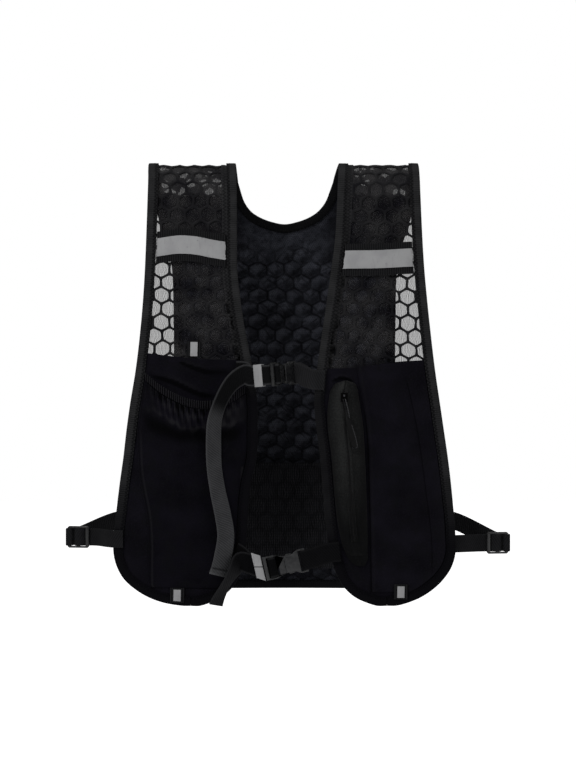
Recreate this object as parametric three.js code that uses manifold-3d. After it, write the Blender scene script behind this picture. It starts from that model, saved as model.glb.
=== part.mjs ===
// A running hydration vest of honeycomb mesh and stretch cloth, as it hangs when it is worn.
// Millimetres, +Z up, +X to the viewer's right, and the front faces -Y.
// The origin is under the shoulder arches, where the vest sits on the shoulders.
import * as THREE from 'three'
import { mergeVertices } from 'three/addons/utils/BufferGeometryUtils.js'
import Module from 'manifold-3d'

const wasm = await Module()
wasm.setup()

// Overall form
const frontDrop = 412.6
const backDrop = 402.6
const frontDepth = 52
const backDepth = 50
const bodyWidth = 317.2
const sideWrap = 24
const wrapRun = 220

// Cloth, net and padding
const gap = 0.3
const netWall = 1.8
const clothWall = 1.2
const padWall = 4
const netPitch = 14.6
const netBar = 2.6
const netRimMargin = 10

// Binding tape
const tapeWidth = 8
const tapeWall = 1.1

// Pockets
const bottlePocketDepth = 15
const gatherDepth = 1.6
const gatherCount = 6
const elasticHeight = 8
const elasticWall = 4
const stretchPocketDepth = 5
const zipPocketDepth = 12
const zipWidth = 6.5
const zipWall = 1.4
const sliderLength = 9
const sliderWidth = 8
const sliderWall = 3.4
const pullCordWidth = 2.2
const pullCordLength = 14
const gripLength = 24
const gripWidth = 6.5
const gripWall = 3

// Shoulder bands and small loops
const bandHeight = 30
const bandWall = 1.6
const bandRise = 3
const reflectorHeight = 17
const reflectorWall = 0.6
const tabLength = 14
const tabWidth = 13
const tabWall = 1.4
const tabReflectorWidth = 6.8

// Webbing and buckles
const webbingWidth = 18.5
const webbingWall = 1.3
const tailLift = 26
const keeperLength = 9
const keeperWall = 0.8
const buckleLength = 40
const buckleRail = 1.4
const buckleWall = 2.4
const barWidth = 3
const slotWidth = 3.8
const sleeveWall = 1.5
const chestBuckleTurn = 57
const lowerBuckleTilt = 13
const sideWebbingWidth = 16.5
const lockLength = 21
const lockRail = 1.75
const leftReach = 206
const rightReach = 212.5

const halfWidth = bodyWidth / 2
const pocketStack = netWall + gap + clothWall
const pocketFloor = pocketStack + gap

// The line that the cloth follows from each shoulder down: out from the shoulder, then down.
const FRONT_LINE = [
  [0.33, 0.016],
  [0.56, 0.053],
  [0.69, 0.12],
  [0.81, 0.24],
  [0.92, 0.41],
  [1, 0.6],
  [0.98, 0.8],
  [0.9, 1],
]
const BACK_LINE = [
  [0.34, 0.016],
  [0.58, 0.054],
  [0.72, 0.125],
  [0.86, 0.27],
  [0.98, 0.5],
  [1, 0.72],
  [0.95, 1],
]

// Edges of the front panels: down the line, inner edge, outer edge.
// Down is a share of the front line, or of the back line where it is below zero.
// Across is a share of half the body width.
const LEFT_EDGES = [
  [-0.07, -0.288, -0.798],
  [-0.035, -0.295, -0.802],
  [0, -0.298, -0.806],
  [0.035, -0.296, -0.804],
  [0.069, -0.293, -0.801],
  [0.108, -0.29, -0.802],
  [0.207, -0.288, -0.81],
  [0.276, -0.285, -0.818],
  [0.335, -0.268, -0.828],
  [0.395, -0.244, -0.842],
  [0.45, -0.215, -0.858],
  [0.5, -0.19, -0.876],
  [0.56, -0.168, -0.903],
  [0.62, -0.166, -0.926],
  [0.68, -0.171, -0.945],
  [0.74, -0.205, -0.968],
  [0.85, -0.229, -1.003],
  [0.89, -0.237, -1.006],
  [0.92, -0.253, -0.985],
  [0.945, -0.284, -0.945],
  [0.965, -0.325, -0.884],
  [0.982, -0.382, -0.806],
  [0.994, -0.45, -0.712],
  [1, -0.505, -0.6],
]
const RIGHT_EDGES = [
  [-0.07, 0.3, 0.795],
  [-0.035, 0.318, 0.794],
  [0, 0.33, 0.793],
  [0.035, 0.329, 0.794],
  [0.069, 0.325, 0.795],
  [0.108, 0.321, 0.797],
  [0.207, 0.306, 0.808],
  [0.276, 0.282, 0.82],
  [0.335, 0.259, 0.835],
  [0.395, 0.236, 0.852],
  [0.45, 0.214, 0.869],
  [0.5, 0.196, 0.886],
  [0.56, 0.183, 0.91],
  [0.62, 0.196, 0.934],
  [0.68, 0.217, 0.958],
  [0.74, 0.231, 0.978],
  [0.85, 0.258, 1.005],
  [0.89, 0.279, 1.006],
  [0.92, 0.301, 0.982],
  [0.945, 0.33, 0.936],
  [0.965, 0.369, 0.879],
  [0.982, 0.424, 0.808],
  [0.994, 0.495, 0.728],
  [1, 0.55, 0.66],
]

// Edges of the back panel beside the neck: down, neck edge, armhole edge.
const BACK_LEFT_EDGES = [
  [-0.071, -0.288, -0.798],
  [-0.095, -0.272, -0.79],
  [-0.119, -0.249, -0.779],
  [-0.14, -0.208, -0.766],
  [-0.154, -0.153, -0.757],
  [-0.164, -0.085, -0.751],
]
const BACK_RIGHT_EDGES = [
  [-0.071, 0.3, 0.795],
  [-0.095, 0.28, 0.79],
  [-0.119, 0.253, 0.779],
  [-0.14, 0.208, 0.766],
  [-0.154, 0.153, 0.757],
  [-0.164, 0.085, 0.751],
]
// Side edge of the back panel below the neck: down, across.
const BACK_SIDE = [
  [-0.17, 0.746],
  [-0.253, 0.682],
  [-0.38, 0.667],
  [-0.52, 0.672],
  [-0.68, 0.745],
  [-0.74, 0.776],
  [-0.83, 0.816],
  [-0.89, 0.828],
  [-0.93, 0.824],
  [-0.955, 0.808],
  [-0.975, 0.778],
  [-0.989, 0.728],
  [-0.997, 0.66],
  [-1, 0.58],
  [-1, 0.53],
]

// The body line and the surface that every piece is laid on
const knots = [
  ...BACK_LINE.map(([out, down]) => new THREE.Vector3(0, out * backDepth, -down * backDrop)).reverse(),
  new THREE.Vector3(0, 0, 0),
  ...FRONT_LINE.map(([out, down]) => new THREE.Vector3(0, -out * frontDepth, -down * frontDrop)),
]
const bodyLine = new THREE.CatmullRomCurve3(knots)
const stepsPerKnot = 60
bodyLine.arcLengthDivisions = stepsPerKnot * (knots.length - 1)
const lineLengths = bodyLine.getLengths()
const backRun = lineLengths[stepsPerKnot * BACK_LINE.length]
const frontRun = lineLengths[lineLengths.length - 1] - backRun

// A point of the vest: across and along its cloth from the shoulder top, and lifted off its inner face.
function surface(across, along, lift) {
  const inside = THREE.MathUtils.clamp(along, -backRun, frontRun)
  const share = (inside + backRun) / (backRun + frontRun)
  const point = bodyLine.getPointAt(share)
  const tangent = bodyLine.getTangentAt(share)
  point.addScaledVector(tangent, along - inside)
  const turn = Math.sign(along) * THREE.MathUtils.smoothstep(Math.abs(along), 0, wrapRun)
  point.x = across
  point.y += turn * sideWrap * (across / halfWidth) ** 2 + tangent.z * lift
  point.z -= tangent.y * lift
  return point
}

const alongOf = (down) => down * (down < 0 ? backRun : frontRun)
const onVest = (across, down, lift) => surface(across * halfWidth, alongOf(down), lift)

const steps = (count) => Array.from({ length: count + 1 }, (_, i) => i / count)

// The value of a table's column where its first column has the given value
function tableAt(rows, column, value) {
  const last = rows.length - 1
  if (value <= rows[0][0]) return rows[0][column]
  if (value >= rows[last][0]) return rows[last][column]
  const next = rows.findIndex((row) => row[0] > value)
  const [low, high] = [rows[next - 1], rows[next]]
  return THREE.MathUtils.mapLinear(value, low[0], high[0], low[column], high[column])
}

// A panel edge set in by a distance square to it, in millimetres
function insetEdge(rows, column, down, distance) {
  const side = Math.sign(rows[0][1]) * (column === 1 ? 1 : -1)
  const reaches = steps(8).map((share) => {
    const shift = (2 * share - 1) * distance
    const edge = side * tableAt(rows, column, down + shift / frontRun) * halfWidth
    return edge + Math.sqrt(distance ** 2 - shift ** 2)
  })
  return side * Math.max(...reaches)
}

// Turns a triangle list the right way out and returns it as a geometry
function closedGeometry(points, triangles) {
  const positions = points.flatMap((point) => [point.x, point.y, point.z])
  const volume = triangles.reduce((sum, [a, b, c]) => {
    const normal = new THREE.Vector3().crossVectors(points[b], points[c])
    return sum + points[a].dot(normal)
  }, 0)
  const outward = volume < 0 ? triangles.map(([a, b, c]) => [a, c, b]) : triangles
  const geometry = new THREE.BufferGeometry()
  geometry.setAttribute('position', new THREE.Float32BufferAttribute(positions, 3))
  geometry.setIndex(outward.flat())
  return geometry
}

// A sheet of cloth from one or more grids of [across, along, under lift, upper lift] in millimetres.
// Grid points that meet are joined, and every free edge gets a wall.
function sheet(...grids) {
  const points = []
  const known = new Map()
  const indexOf = ([across, along, under, upper]) => {
    const key = `${across.toFixed(3)},${along.toFixed(3)}`
    if (!known.has(key)) {
      known.set(key, points.length / 2)
      points.push(surface(across, along, under), surface(across, along, upper))
    }
    return known.get(key)
  }
  const faces = []
  for (const grid of grids) {
    const [first, nextDown] = [grid[0][0], grid[1][0]]
    const acrossStep = grid[0][1][0] - first[0] || grid[1][1][0] - nextDown[0]
    const flip = Math.sign(acrossStep) * Math.sign(nextDown[1] - first[1]) < 0
    for (let row = 0; row < grid.length - 1; row++) {
      for (let column = 0; column < grid[row].length - 1; column++) {
        const corners = [grid[row][column], grid[row + 1][column], grid[row + 1][column + 1], grid[row][column + 1]]
        const [a, b, c, d] = (flip ? corners.reverse() : corners).map(indexOf)
        faces.push([a, b, c], [a, c, d])
      }
    }
  }
  const solid = faces.filter(([a, b, c]) => a !== b && b !== c && c !== a)
  const edges = new Set(solid.flatMap(([a, b, c]) => [`${a},${b}`, `${b},${c}`, `${c},${a}`]))
  const triangles = []
  for (const [a, b, c] of solid) {
    triangles.push([2 * a + 1, 2 * b + 1, 2 * c + 1], [2 * a, 2 * c, 2 * b])
    for (const [from, to] of [[a, b], [b, c], [c, a]]) {
      if (edges.has(`${to},${from}`)) continue
      triangles.push([2 * from, 2 * to, 2 * to + 1], [2 * from, 2 * to + 1, 2 * from + 1])
    }
  }
  return closedGeometry(points, triangles)
}

// A solid drawn through sections with the same number of corners. The caps are triangles of corner numbers.
function sweep(sections, caps, closed = false) {
  const count = sections[0].length
  const points = sections.flat()
  const triangles = []
  const spans = closed ? sections.length : sections.length - 1
  for (let i = 0; i < spans; i++) {
    const next = (i + 1) % sections.length
    for (let k = 0; k < count; k++) {
      const l = (k + 1) % count
      const [a, b, c, d] = [i * count + k, i * count + l, next * count + l, next * count + k]
      triangles.push([a, b, c], [a, c, d])
    }
  }
  if (!closed) {
    const end = (sections.length - 1) * count
    for (const [a, b, c] of caps) triangles.push([a, c, b], [end + a, end + b, end + c])
  }
  return closedGeometry(points, triangles)
}

const fan = (count) => Array.from({ length: count - 2 }, (_, k) => [0, k + 1, k + 2])

// Webbing through stations of a point and the direction across its width
function ribbon(stations, width, wall, closed = false) {
  const count = stations.length
  const sections = stations.map(({ point, across }, i) => {
    const before = stations[closed ? (i + count - 1) % count : Math.max(i - 1, 0)].point
    const after = stations[closed ? (i + 1) % count : Math.min(i + 1, count - 1)].point
    const tangent = after.clone().sub(before).normalize()
    const normal = new THREE.Vector3().crossVectors(tangent, across).normalize()
    const side = new THREE.Vector3().crossVectors(normal, tangent).multiplyScalar(width / 2)
    normal.multiplyScalar(wall / 2)
    const corner = (a, b) => point.clone().addScaledVector(side, a).addScaledVector(normal, b)
    return [corner(-1, -1), corner(1, -1), corner(1, 1), corner(-1, 1)]
  })
  return sweep(sections, fan(4), closed)
}

// Binding tape folded over an edge: its path in [across, along] and the cloth thickness it holds.
// The side is 1 where the cloth lies to the right of the path and -1 where it lies to the left.
function binding(path, side) {
  const sections = path.map(([across, along, held], i) => {
    const before = path[Math.max(i - 1, 0)]
    const after = path[Math.min(i + 1, path.length - 1)]
    const [du, ds] = [after[0] - before[0], after[1] - before[1]]
    const length = Math.hypot(du, ds)
    const inward = [(side * ds) / length, (-side * du) / length]
    const corner = (inset, lift) => surface(across + inward[0] * inset, along + inward[1] * inset, lift)
    const [bottom, top] = [-gap - tapeWall, held + gap + tapeWall]
    return [
      corner(-gap - tapeWall, bottom),
      corner(tapeWidth, bottom),
      corner(tapeWidth, bottom + tapeWall),
      corner(-gap, bottom + tapeWall),
      corner(-gap, top - tapeWall),
      corner(tapeWidth, top - tapeWall),
      corner(tapeWidth, top),
      corner(-gap - tapeWall, top),
    ]
  })
  const caps = [[0, 1, 2], [0, 2, 3], [0, 3, 4], [0, 4, 7], [4, 5, 6], [4, 6, 7]]
  return sweep(sections, caps)
}

function toManifold(geometry) {
  const merged = mergeVertices(geometry, 1e-4)
  return new wasm.Manifold(new wasm.Mesh({
    numProp: 3,
    vertProperties: new Float32Array(merged.attributes.position.array),
    triVerts: new Uint32Array(merged.index.array),
  }))
}

function fromManifold(solid) {
  const mesh = solid.getMesh()
  const geometry = new THREE.BufferGeometry()
  geometry.setAttribute('position', new THREE.Float32BufferAttribute(mesh.vertProperties, 3))
  geometry.setIndex(Array.from(mesh.triVerts))
  return geometry
}

function plate(shape, thickness) {
  const geometry = new THREE.ExtrudeGeometry(shape, { depth: thickness, bevelEnabled: false, curveSegments: 4 })
  geometry.deleteAttribute('normal')
  geometry.deleteAttribute('uv')
  geometry.rotateX(Math.PI / 2)
  geometry.translate(0, thickness / 2, 0)
  return mergeVertices(geometry, 1e-4)
}

const outline = (points) => new THREE.Shape(points.map(([x, y]) => new THREE.Vector2(x, y)))

// A plate with slots through it, each given by its left and right end and its half height
function slottedPlate(shape, thickness, slots) {
  const cuts = slots.map(([left, right, half]) => toManifold(
    plate(outline([[left, -half], [right, -half], [right, half], [left, half]]), thickness * 2),
  ))
  return toManifold(plate(shape, thickness)).subtract(wasm.Manifold.union(cuts))
}

// Materials
const fabrics = {
  net: { color: 0x101012, roughness: 0.85 },
  pad: { color: 0x15161b, roughness: 0.8 },
  stretch: { color: 0x0c0b0e, roughness: 0.75 },
  woven: { color: 0x17181a, roughness: 0.7 },
  tape: { color: 0x0e0e0f, roughness: 0.8 },
  webbing: { color: 0x1b1c1d, roughness: 0.7 },
  reflector: { color: 0x8d8e90, roughness: 0.4 },
  plastic: { color: 0x0d0e10, roughness: 0.35 },
  metal: { color: 0x55575a, roughness: 0.35, metalness: 0.9 },
}
const vest = new THREE.Group()

function add(name, geometry, fabric, parent = vest) {
  const mesh = new THREE.Mesh(geometry, new THREE.MeshStandardMaterial({ metalness: 0, ...fabrics[fabric] }))
  mesh.name = name
  parent.add(mesh)
  return mesh
}

// Front panels

// Places across a panel, with one at the inner limit of the tape on each side
function acrossPanel(inner, outer, columns) {
  const hold = Math.sign(outer - inner) * Math.min(tapeWidth, Math.abs(outer - inner) / 3)
  const middle = steps(columns).map((v) => THREE.MathUtils.lerp(inner + hold, outer - hold, v))
  return [inner, ...middle, outer]
}

// A grid over a front panel between two lines across it, set in from both edges
function panelGrid(rows, { top, bottom, shares, columns, inset = 0, inner, outer, lifts }) {
  const side = Math.sign(rows[0][1])
  return shares.map((share) => steps(columns).map((v) => {
    const down = THREE.MathUtils.lerp(top(v), bottom(v), share)
    const edges = [1, 2].map((column) => insetEdge(rows, column, down, inset))
    const near = inner ? side * Math.max(side * edges[0], side * inner(down)) : edges[0]
    const far = outer ? side * Math.min(side * edges[1], side * outer(down)) : edges[1]
    const [under, upper] = lifts(v, share, down)
    return [THREE.MathUtils.lerp(near, far, v), alongOf(down), under, upper]
  }))
}

const yokeEnd = 0.5
const seamDown = LEFT_EDGES[0][0]

function yoke(rows, bandDown) {
  const upper = rows.filter((row) => row[0] <= yokeEnd)
  const grid = upper.map(([down, inner, outer]) => acrossPanel(inner * halfWidth, outer * halfWidth, 2)
    .map((across) => [across, alongOf(down), 0, netWall]))
  const slab = toManifold(sheet(grid))
  const side = Math.sign(rows[0][1])
  const rowPitch = netPitch * Math.sqrt(3) / 2
  const holeRadius = (netPitch - netBar) / Math.sqrt(3)
  const holes = []
  const firstAlong = alongOf(0.046)
  const lastAlong = alongOf(yokeEnd) - netRimMargin
  for (let row = 0; firstAlong + row * rowPitch < lastAlong; row++) {
    const along = firstAlong + row * rowPitch
    const down = along / frontRun
    const near = Math.abs(insetEdge(rows, 1, down, netRimMargin))
    const far = Math.abs(insetEdge(rows, 2, down, netRimMargin))
    const underBand = Math.abs(along - alongOf(bandDown)) < bandHeight / 2
    const start = far - (row % 2 ? netPitch / 2 : 0)
    const end = Math.max(near, start - 1.6 * netPitch)
    for (let across = start; across > end && !underBand; across -= netPitch) {
      const corner = (k, lift) => {
        const angle = (k + 0.5) * Math.PI / 3
        return surface(side * across + holeRadius * Math.cos(angle), along + holeRadius * Math.sin(angle), lift)
      }
      const ends = [-netWall, 2 * netWall].map((lift) => steps(6).slice(1).map((k) => corner(6 * k, lift)))
      holes.push(toManifold(sweep(ends, fan(6))))
    }
  }
  return fromManifold(slab.subtract(wasm.Manifold.union(holes)))
}

const leftBandDown = 0.226
const rightBandDown = 0.249
add('yoke_left', yoke(LEFT_EDGES, leftBandDown), 'net')
add('yoke_right', yoke(RIGHT_EDGES, rightBandDown), 'net')

// Lower front panels under the pockets start where the yoke net ends.
function basePanel(rows) {
  const start = yokeEnd + gap / frontRun
  const lower = [[start, tableAt(rows, 1, start), tableAt(rows, 2, start)], ...rows.filter((row) => row[0] > start)]
  return sheet(lower.map(([down, inner, outer]) => acrossPanel(inner * halfWidth, outer * halfWidth, 2)
    .map((across) => [across, alongOf(down), 0, netWall])))
}

add('base_left', basePanel(LEFT_EDGES), 'stretch')
add('base_right', basePanel(RIGHT_EDGES), 'stretch')

// Stretch cloth over the base. Its top edge slants: share from the inner edge, down.
const LEFT_POCKET_TOP = [
  [0, 0.471],
  [0.5, 0.466],
  [1, 0.452],
]
const RIGHT_POCKET_TOP = [
  [0, 0.489],
  [0.3, 0.486],
  [0.7, 0.473],
  [1, 0.469],
]

function pocketPanel(rows, topRows) {
  const tops = [0, 0.1, 0.5, 0.9, 1].map((v) => tableAt(topRows, 1, v))
  const lower = rows.filter((row) => row[0] >= 0.5)
  const across = (down) => acrossPanel(tableAt(rows, 1, down) * halfWidth, tableAt(rows, 2, down) * halfWidth, 2)
  const grid = [tops, ...lower.map((row) => tops.map(() => row[0]))]
  return sheet(grid.map((downs) => downs.map((down, column) => [
    across(down)[column], alongOf(down), netWall + gap, pocketStack,
  ])))
}

add('pocket_panel_left', pocketPanel(LEFT_EDGES, LEFT_POCKET_TOP), 'stretch')
add('pocket_panel_right', pocketPanel(RIGHT_EDGES, RIGHT_POCKET_TOP), 'stretch')

// Bottle pocket: mouth line as share from the inner edge, down, and its outer seam as down, across
const MOUTH_LINE = [
  [0, 0.534],
  [0.12, 0.552],
  [0.25, 0.564],
  [0.42, 0.568],
  [0.55, 0.563],
  [0.68, 0.551],
  [0.82, 0.534],
  [0.93, 0.517],
  [1, 0.505],
]
const BOTTLE_SEAM = [
  [0.5, -0.9],
  [0.626, -0.87],
  [0.715, -0.858],
  [0.812, -0.811],
  [0.967, -0.803],
]
const pocketInset = tapeWidth + 3 * gap
const elasticDrop = (elasticHeight / 2 + gap) / frontRun

function bottleBulge(v, share) {
  const across = Math.sin(Math.PI * v) ** 0.8
  const along = 1 - 0.75 * THREE.MathUtils.smoothstep(share, 0.25, 1)
  return bottlePocketDepth * across * along * (1 - THREE.MathUtils.smoothstep(share, 0.9, 1))
}

function gather(v, share) {
  const wave = Math.sin(2 * Math.PI * gatherCount * v)
  return gatherDepth * wave * Math.sin(Math.PI * v) * Math.exp(-share / 0.14)
}

const bottleOuter = (down) => tableAt(BOTTLE_SEAM, 1, down) * halfWidth
add('bottle_pocket', sheet(panelGrid(LEFT_EDGES, {
  top: (v) => tableAt(MOUTH_LINE, 1, v) + elasticDrop,
  bottom: () => 0.962,
  shares: [0, 0.05, 0.12, 0.22, 0.35, 0.5, 0.7, 0.88, 0.95, 1],
  columns: 14,
  inset: pocketInset,
  outer: bottleOuter,
  lifts: (v, share) => {
    const under = pocketFloor + bottleBulge(v, share) + Math.max(0, gather(v, share))
    return [under, under + clothWall]
  },
})), 'stretch')

// Gathered elastic along the mouth: an oval hem whose thickness ripples
function elasticHem() {
  const count = 18
  const sections = steps(count).map((v) => {
    const down = tableAt(MOUTH_LINE, 1, v)
    const near = insetEdge(LEFT_EDGES, 1, down, pocketInset) - gap
    const far = Math.max(insetEdge(LEFT_EDGES, 2, down, pocketInset), bottleOuter(down)) + gap
    const ripple = 1 + 0.16 * Math.cos(Math.PI * count * v)
    const halfHeight = elasticHeight / 2 * ripple
    const halfWall = elasticWall / 2 * ripple
    const middle = pocketFloor + elasticWall * 0.65 + gap + bottleBulge(v, 0)
    return steps(6).slice(1).map((k) => {
      const angle = 2 * Math.PI * k
      const drop = Math.min(halfHeight * Math.sin(angle), elasticHeight / 2)
      const lift = halfWall * Math.cos(angle)
      return surface(THREE.MathUtils.lerp(near, far, v), alongOf(down) + drop, middle + lift)
    })
  })
  return sweep(sections, fan(6))
}

add('bottle_elastic', elasticHem(), 'stretch')

// Stretch pocket on the right: its inner edge as down, across, and the pleat beside the outer edge
const STRETCH_EDGE = [
  [0.48, 0.423],
  [0.617, 0.481],
  [0.772, 0.499],
  [0.985, 0.511],
]
const PLEAT_LINE = [
  [0.498, 0.705],
  [0.617, 0.775],
  [0.754, 0.829],
  [0.869, 0.865],
  [0.967, 0.866],
]
const stretchInner = (down) => tableAt(STRETCH_EDGE, 1, down) * halfWidth
add('stretch_pocket', sheet(panelGrid(RIGHT_EDGES, {
  top: (v) => THREE.MathUtils.lerp(0.484, 0.469, v) + gap / frontRun,
  bottom: () => 0.972,
  shares: [0, 0.08, 0.2, 0.35, 0.5, 0.65, 0.8, 0.88, 0.94, 1],
  columns: 7,
  inset: pocketInset,
  inner: stretchInner,
  lifts: (v, share, down) => {
    const across = tableAt(STRETCH_EDGE, 1, down)
    const width = insetEdge(RIGHT_EDGES, 2, down, pocketInset) / halfWidth - across
    const pleat = (tableAt(PLEAT_LINE, 1, down) - across) / width
    const rise = Math.sin(Math.PI * Math.min(v / Math.max(pleat, 0.1), 1)) ** 0.7
    const under = pocketFloor + stretchPocketDepth * rise * Math.sin(Math.PI * Math.min(share + 0.12, 1)) ** 0.5
    return [under, under + clothWall]
  },
})), 'stretch')

// Zipped pouch: down, inner edge, outer edge. It stands proud between the binding and the stretch pocket.
const ZIP_POUCH = [
  [0.515, 0.345, 0.37],
  [0.519, 0.31, 0.405],
  [0.53, 0.28, 0.425],
  [0.555, 0.26, 0.438],
  [0.6, 0.252, 0.458],
  [0.68, 0.277, 0.473],
  [0.76, 0.294, 0.482],
  [0.84, 0.322, 0.488],
  [0.88, 0.352, 0.488],
  [0.905, 0.39, 0.486],
  [0.915, 0.425, 0.47],
]

function zipBulge(v, down) {
  const [start, end] = [ZIP_POUCH[0][0], ZIP_POUCH[ZIP_POUCH.length - 1][0]]
  const share = (down - start) / (end - start)
  return zipPocketDepth * Math.sin(Math.PI * v) ** 0.7 * Math.sin(Math.PI * Math.min(1, 0.06 + share)) ** 0.45
}

add('zip_pouch', sheet(ZIP_POUCH.map(([down, inner, outer]) => steps(6).map((v) => {
  const under = pocketFloor + Math.max(0, zipBulge(v, down))
  return [THREE.MathUtils.lerp(inner, outer, v) * halfWidth, alongOf(down), under, under + clothWall]
}))), 'woven')

// The zip runs down the crown of the pouch.
const zipTop = 0.535
const zipEnd = 0.86
const zipMiddle = 0.5
const zipCrown = (down) => pocketFloor + zipBulge(zipMiddle, down) + clothWall + gap
const zipAcross = (down) => (tableAt(ZIP_POUCH, 1, down) + tableAt(ZIP_POUCH, 2, down)) / 2 * halfWidth
const zipRows = ZIP_POUCH.map((row) => row[0]).filter((down) => down > zipTop && down < zipEnd)
add('zip_chain', sheet([zipTop, ...zipRows, zipEnd].map((down) => [-1, 0, 1].map((side) => [
  zipAcross(down) + side * zipWidth / 2, alongOf(down), zipCrown(down), zipCrown(down) + zipWall,
]))), 'tape')

// Slider at the top of the zip, and its cord with a moulded grip hanging down
const sliderDown = 0.552
const sliderLift = zipCrown(sliderDown) + zipWall + 2 * gap
function blockOnVest(across, down, width, length, under, wall) {
  const [near, far] = [alongOf(down) - length / 2, alongOf(down) + length / 2]
  return sheet([near, far].map((along) => [-1, 1].map((side) => [across + side * width / 2, along, under, under + wall])))
}
add('zip_slider', blockOnVest(zipAcross(sliderDown), sliderDown, sliderWidth, sliderLength, sliderLift, sliderWall), 'metal')

const cordTop = alongOf(sliderDown) + sliderLength / 2 + gap
const pullStations = [
  [0, 0, pullCordWidth, 0],
  [pullCordLength - 3, 3, pullCordWidth, 0],
  [pullCordLength, 4, gripWidth * 0.7, 0],
  [pullCordLength + 4, 5, gripWidth * 0.85, 0.5],
  [pullCordLength + gripLength - 3, 9, gripWidth, 1],
  [pullCordLength + gripLength, 10, gripWidth * 0.8, 1],
]
add('zip_pull', sweep(pullStations.map(([drop, shift, width]) => {
  const along = cordTop + drop
  const across = zipAcross(sliderDown) + shift
  const floor = zipCrown(along / frontRun) + zipWall + gap
  const corner = (side, lift) => surface(across + side * width / 2, along, floor + lift)
  return [corner(-1, 0), corner(1, 0), corner(1, gripWall), corner(-1, gripWall)]
}), fan(4)), 'plastic')

// Shoulder bands: across from inner to outer edge as a share, then the middle line down.
const LEFT_BAND = [
  [0, 0.233],
  [0.2, 0.2285],
  [0.45, 0.2215],
  [0.65, 0.2195],
  [1, 0.225],
]
const RIGHT_BAND = [
  [0, 0.252],
  [0.5, 0.2515],
  [1, 0.2465],
]

function band(rows, line, height, under, wall) {
  return sheet([-0.5, 0.5].map((half) => steps(7).map((v) => {
    const along = alongOf(tableAt(line, 1, v)) + half * height
    const [inner, outer] = [1, 2].map((column) => insetEdge(rows, column, along / frontRun, pocketInset))
    const lift = under + bandRise * Math.sin(Math.PI * v) ** 0.6
    return [THREE.MathUtils.lerp(inner, outer, v), along, lift, lift + wall]
  })))
}

for (const [side, rows, line] of [['left', LEFT_EDGES, LEFT_BAND], ['right', RIGHT_EDGES, RIGHT_BAND]]) {
  const bandUnder = netWall + gap
  const reflectorUnder = bandUnder + bandWall + gap
  add(`band_${side}`, band(rows, line, bandHeight, bandUnder, bandWall), 'webbing')
  add(`band_${side}_reflector`, band(rows, line, reflectorHeight, reflectorUnder, reflectorWall), 'reflector')
}

// Binding tape along every edge
const innerPath = (rows) => rows.map(([down, inner]) => [inner * halfWidth, alongOf(down), heldAt(down)])
const outerPath = (rows) => rows.map(([down, , outer]) => [outer * halfWidth, alongOf(down), heldAt(down)])
function heldAt(down) {
  if (down <= seamDown) return padWall
  return down < 0.39 ? netWall : pocketStack
}
const hemMiddle = (rows, shift) => [
  (rows[rows.length - 1][1] + rows[rows.length - 1][2]) / 2 * halfWidth + shift, alongOf(1), pocketStack,
]
const backSide = (side) => BACK_SIDE.map(([down, across]) => [side * across * halfWidth, alongOf(down), padWall])
const neckMiddle = [0, alongOf(-0.17), padWall]

add('neck_binding', binding([
  hemMiddle(LEFT_EDGES, gap),
  ...innerPath(LEFT_EDGES).reverse(),
  ...innerPath(BACK_LEFT_EDGES),
  neckMiddle,
  ...innerPath(BACK_RIGHT_EDGES).reverse(),
  ...innerPath(RIGHT_EDGES),
  hemMiddle(RIGHT_EDGES, -gap),
], 1), 'tape')
add('arm_binding_left', binding([
  hemMiddle(LEFT_EDGES, 0),
  ...outerPath(LEFT_EDGES).reverse(),
  ...outerPath(BACK_LEFT_EDGES),
  ...backSide(-1),
], -1), 'tape')
add('arm_binding_right', binding([
  hemMiddle(RIGHT_EDGES, 0),
  ...outerPath(RIGHT_EDGES).reverse(),
  ...outerPath(BACK_RIGHT_EDGES),
  ...backSide(1),
], 1), 'tape')
const hemHalf = BACK_SIDE[BACK_SIDE.length - 1][1] * halfWidth - gap
add('hem_binding', binding(steps(6).map((v) => [
  THREE.MathUtils.lerp(-hemHalf, hemHalf, v), alongOf(-1), padWall,
]), -1), 'tape')

// Back panel: two halves that meet below the neck, thinner where the tape holds it
const backColumns = 4
const backEdgeThin = 0.4
function backHalf(neckRows, side) {
  const rows = [...neckRows, ...BACK_SIDE.slice(0, -1).map(([down, across]) => [down, 0, side * across])]
  return rows.map(([down, inner, outer], row) => steps(backColumns).map((v) => {
    const atEdge = v === 1 || down < -0.98 || (v === 0 && row <= neckRows.length)
    const thin = atEdge ? backEdgeThin : 0
    return [THREE.MathUtils.lerp(inner, outer, v) * halfWidth, alongOf(down), thin, padWall - thin]
  }))
}
add('back_panel', sheet(backHalf(BACK_LEFT_EDGES, -1), backHalf(BACK_RIGHT_EDGES, 1)), 'pad')

// Finer net over the lower inside of the back panel
const lowerNetTop = -0.68
const lowerNetRows = BACK_SIDE.filter(([down]) => down <= lowerNetTop && down > -0.96)
add('back_lower_net', sheet(lowerNetRows.map(([down, across]) => [-3, -1, 1, 3].map((k) => [
  across * halfWidth * k / backColumns, alongOf(down), -gap - clothWall, -gap,
]))), 'net')

// Side-release buckles. In a buckle's own frame X runs along the webbing from the ladder to the sleeve,
// -Y faces forward and Z runs across the webbing.
const buckleEnd = buckleLength / 2
const buckleHalf = webbingWidth / 2 + gap + buckleRail
const ladderOuter = -buckleEnd + barWidth
const crossBarLeft = ladderOuter + slotWidth
const crossBarRight = crossBarLeft + barWidth
const shoulderLeft = crossBarRight + slotWidth
const shoulderRight = shoulderLeft + 6
const sleeveLeft = shoulderRight + gap
const sleeveBar = buckleEnd - barWidth
const sleeveWallEnd = sleeveBar - slotWidth
const sleeveThickness = buckleWall + 2 * (sleeveWall + gap)
const prongEnd = sleeveWallEnd - 2
const waist = buckleHalf * 0.72
const bayLeft = sleeveLeft + 1.5
const bayRight = bayLeft + 6

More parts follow.
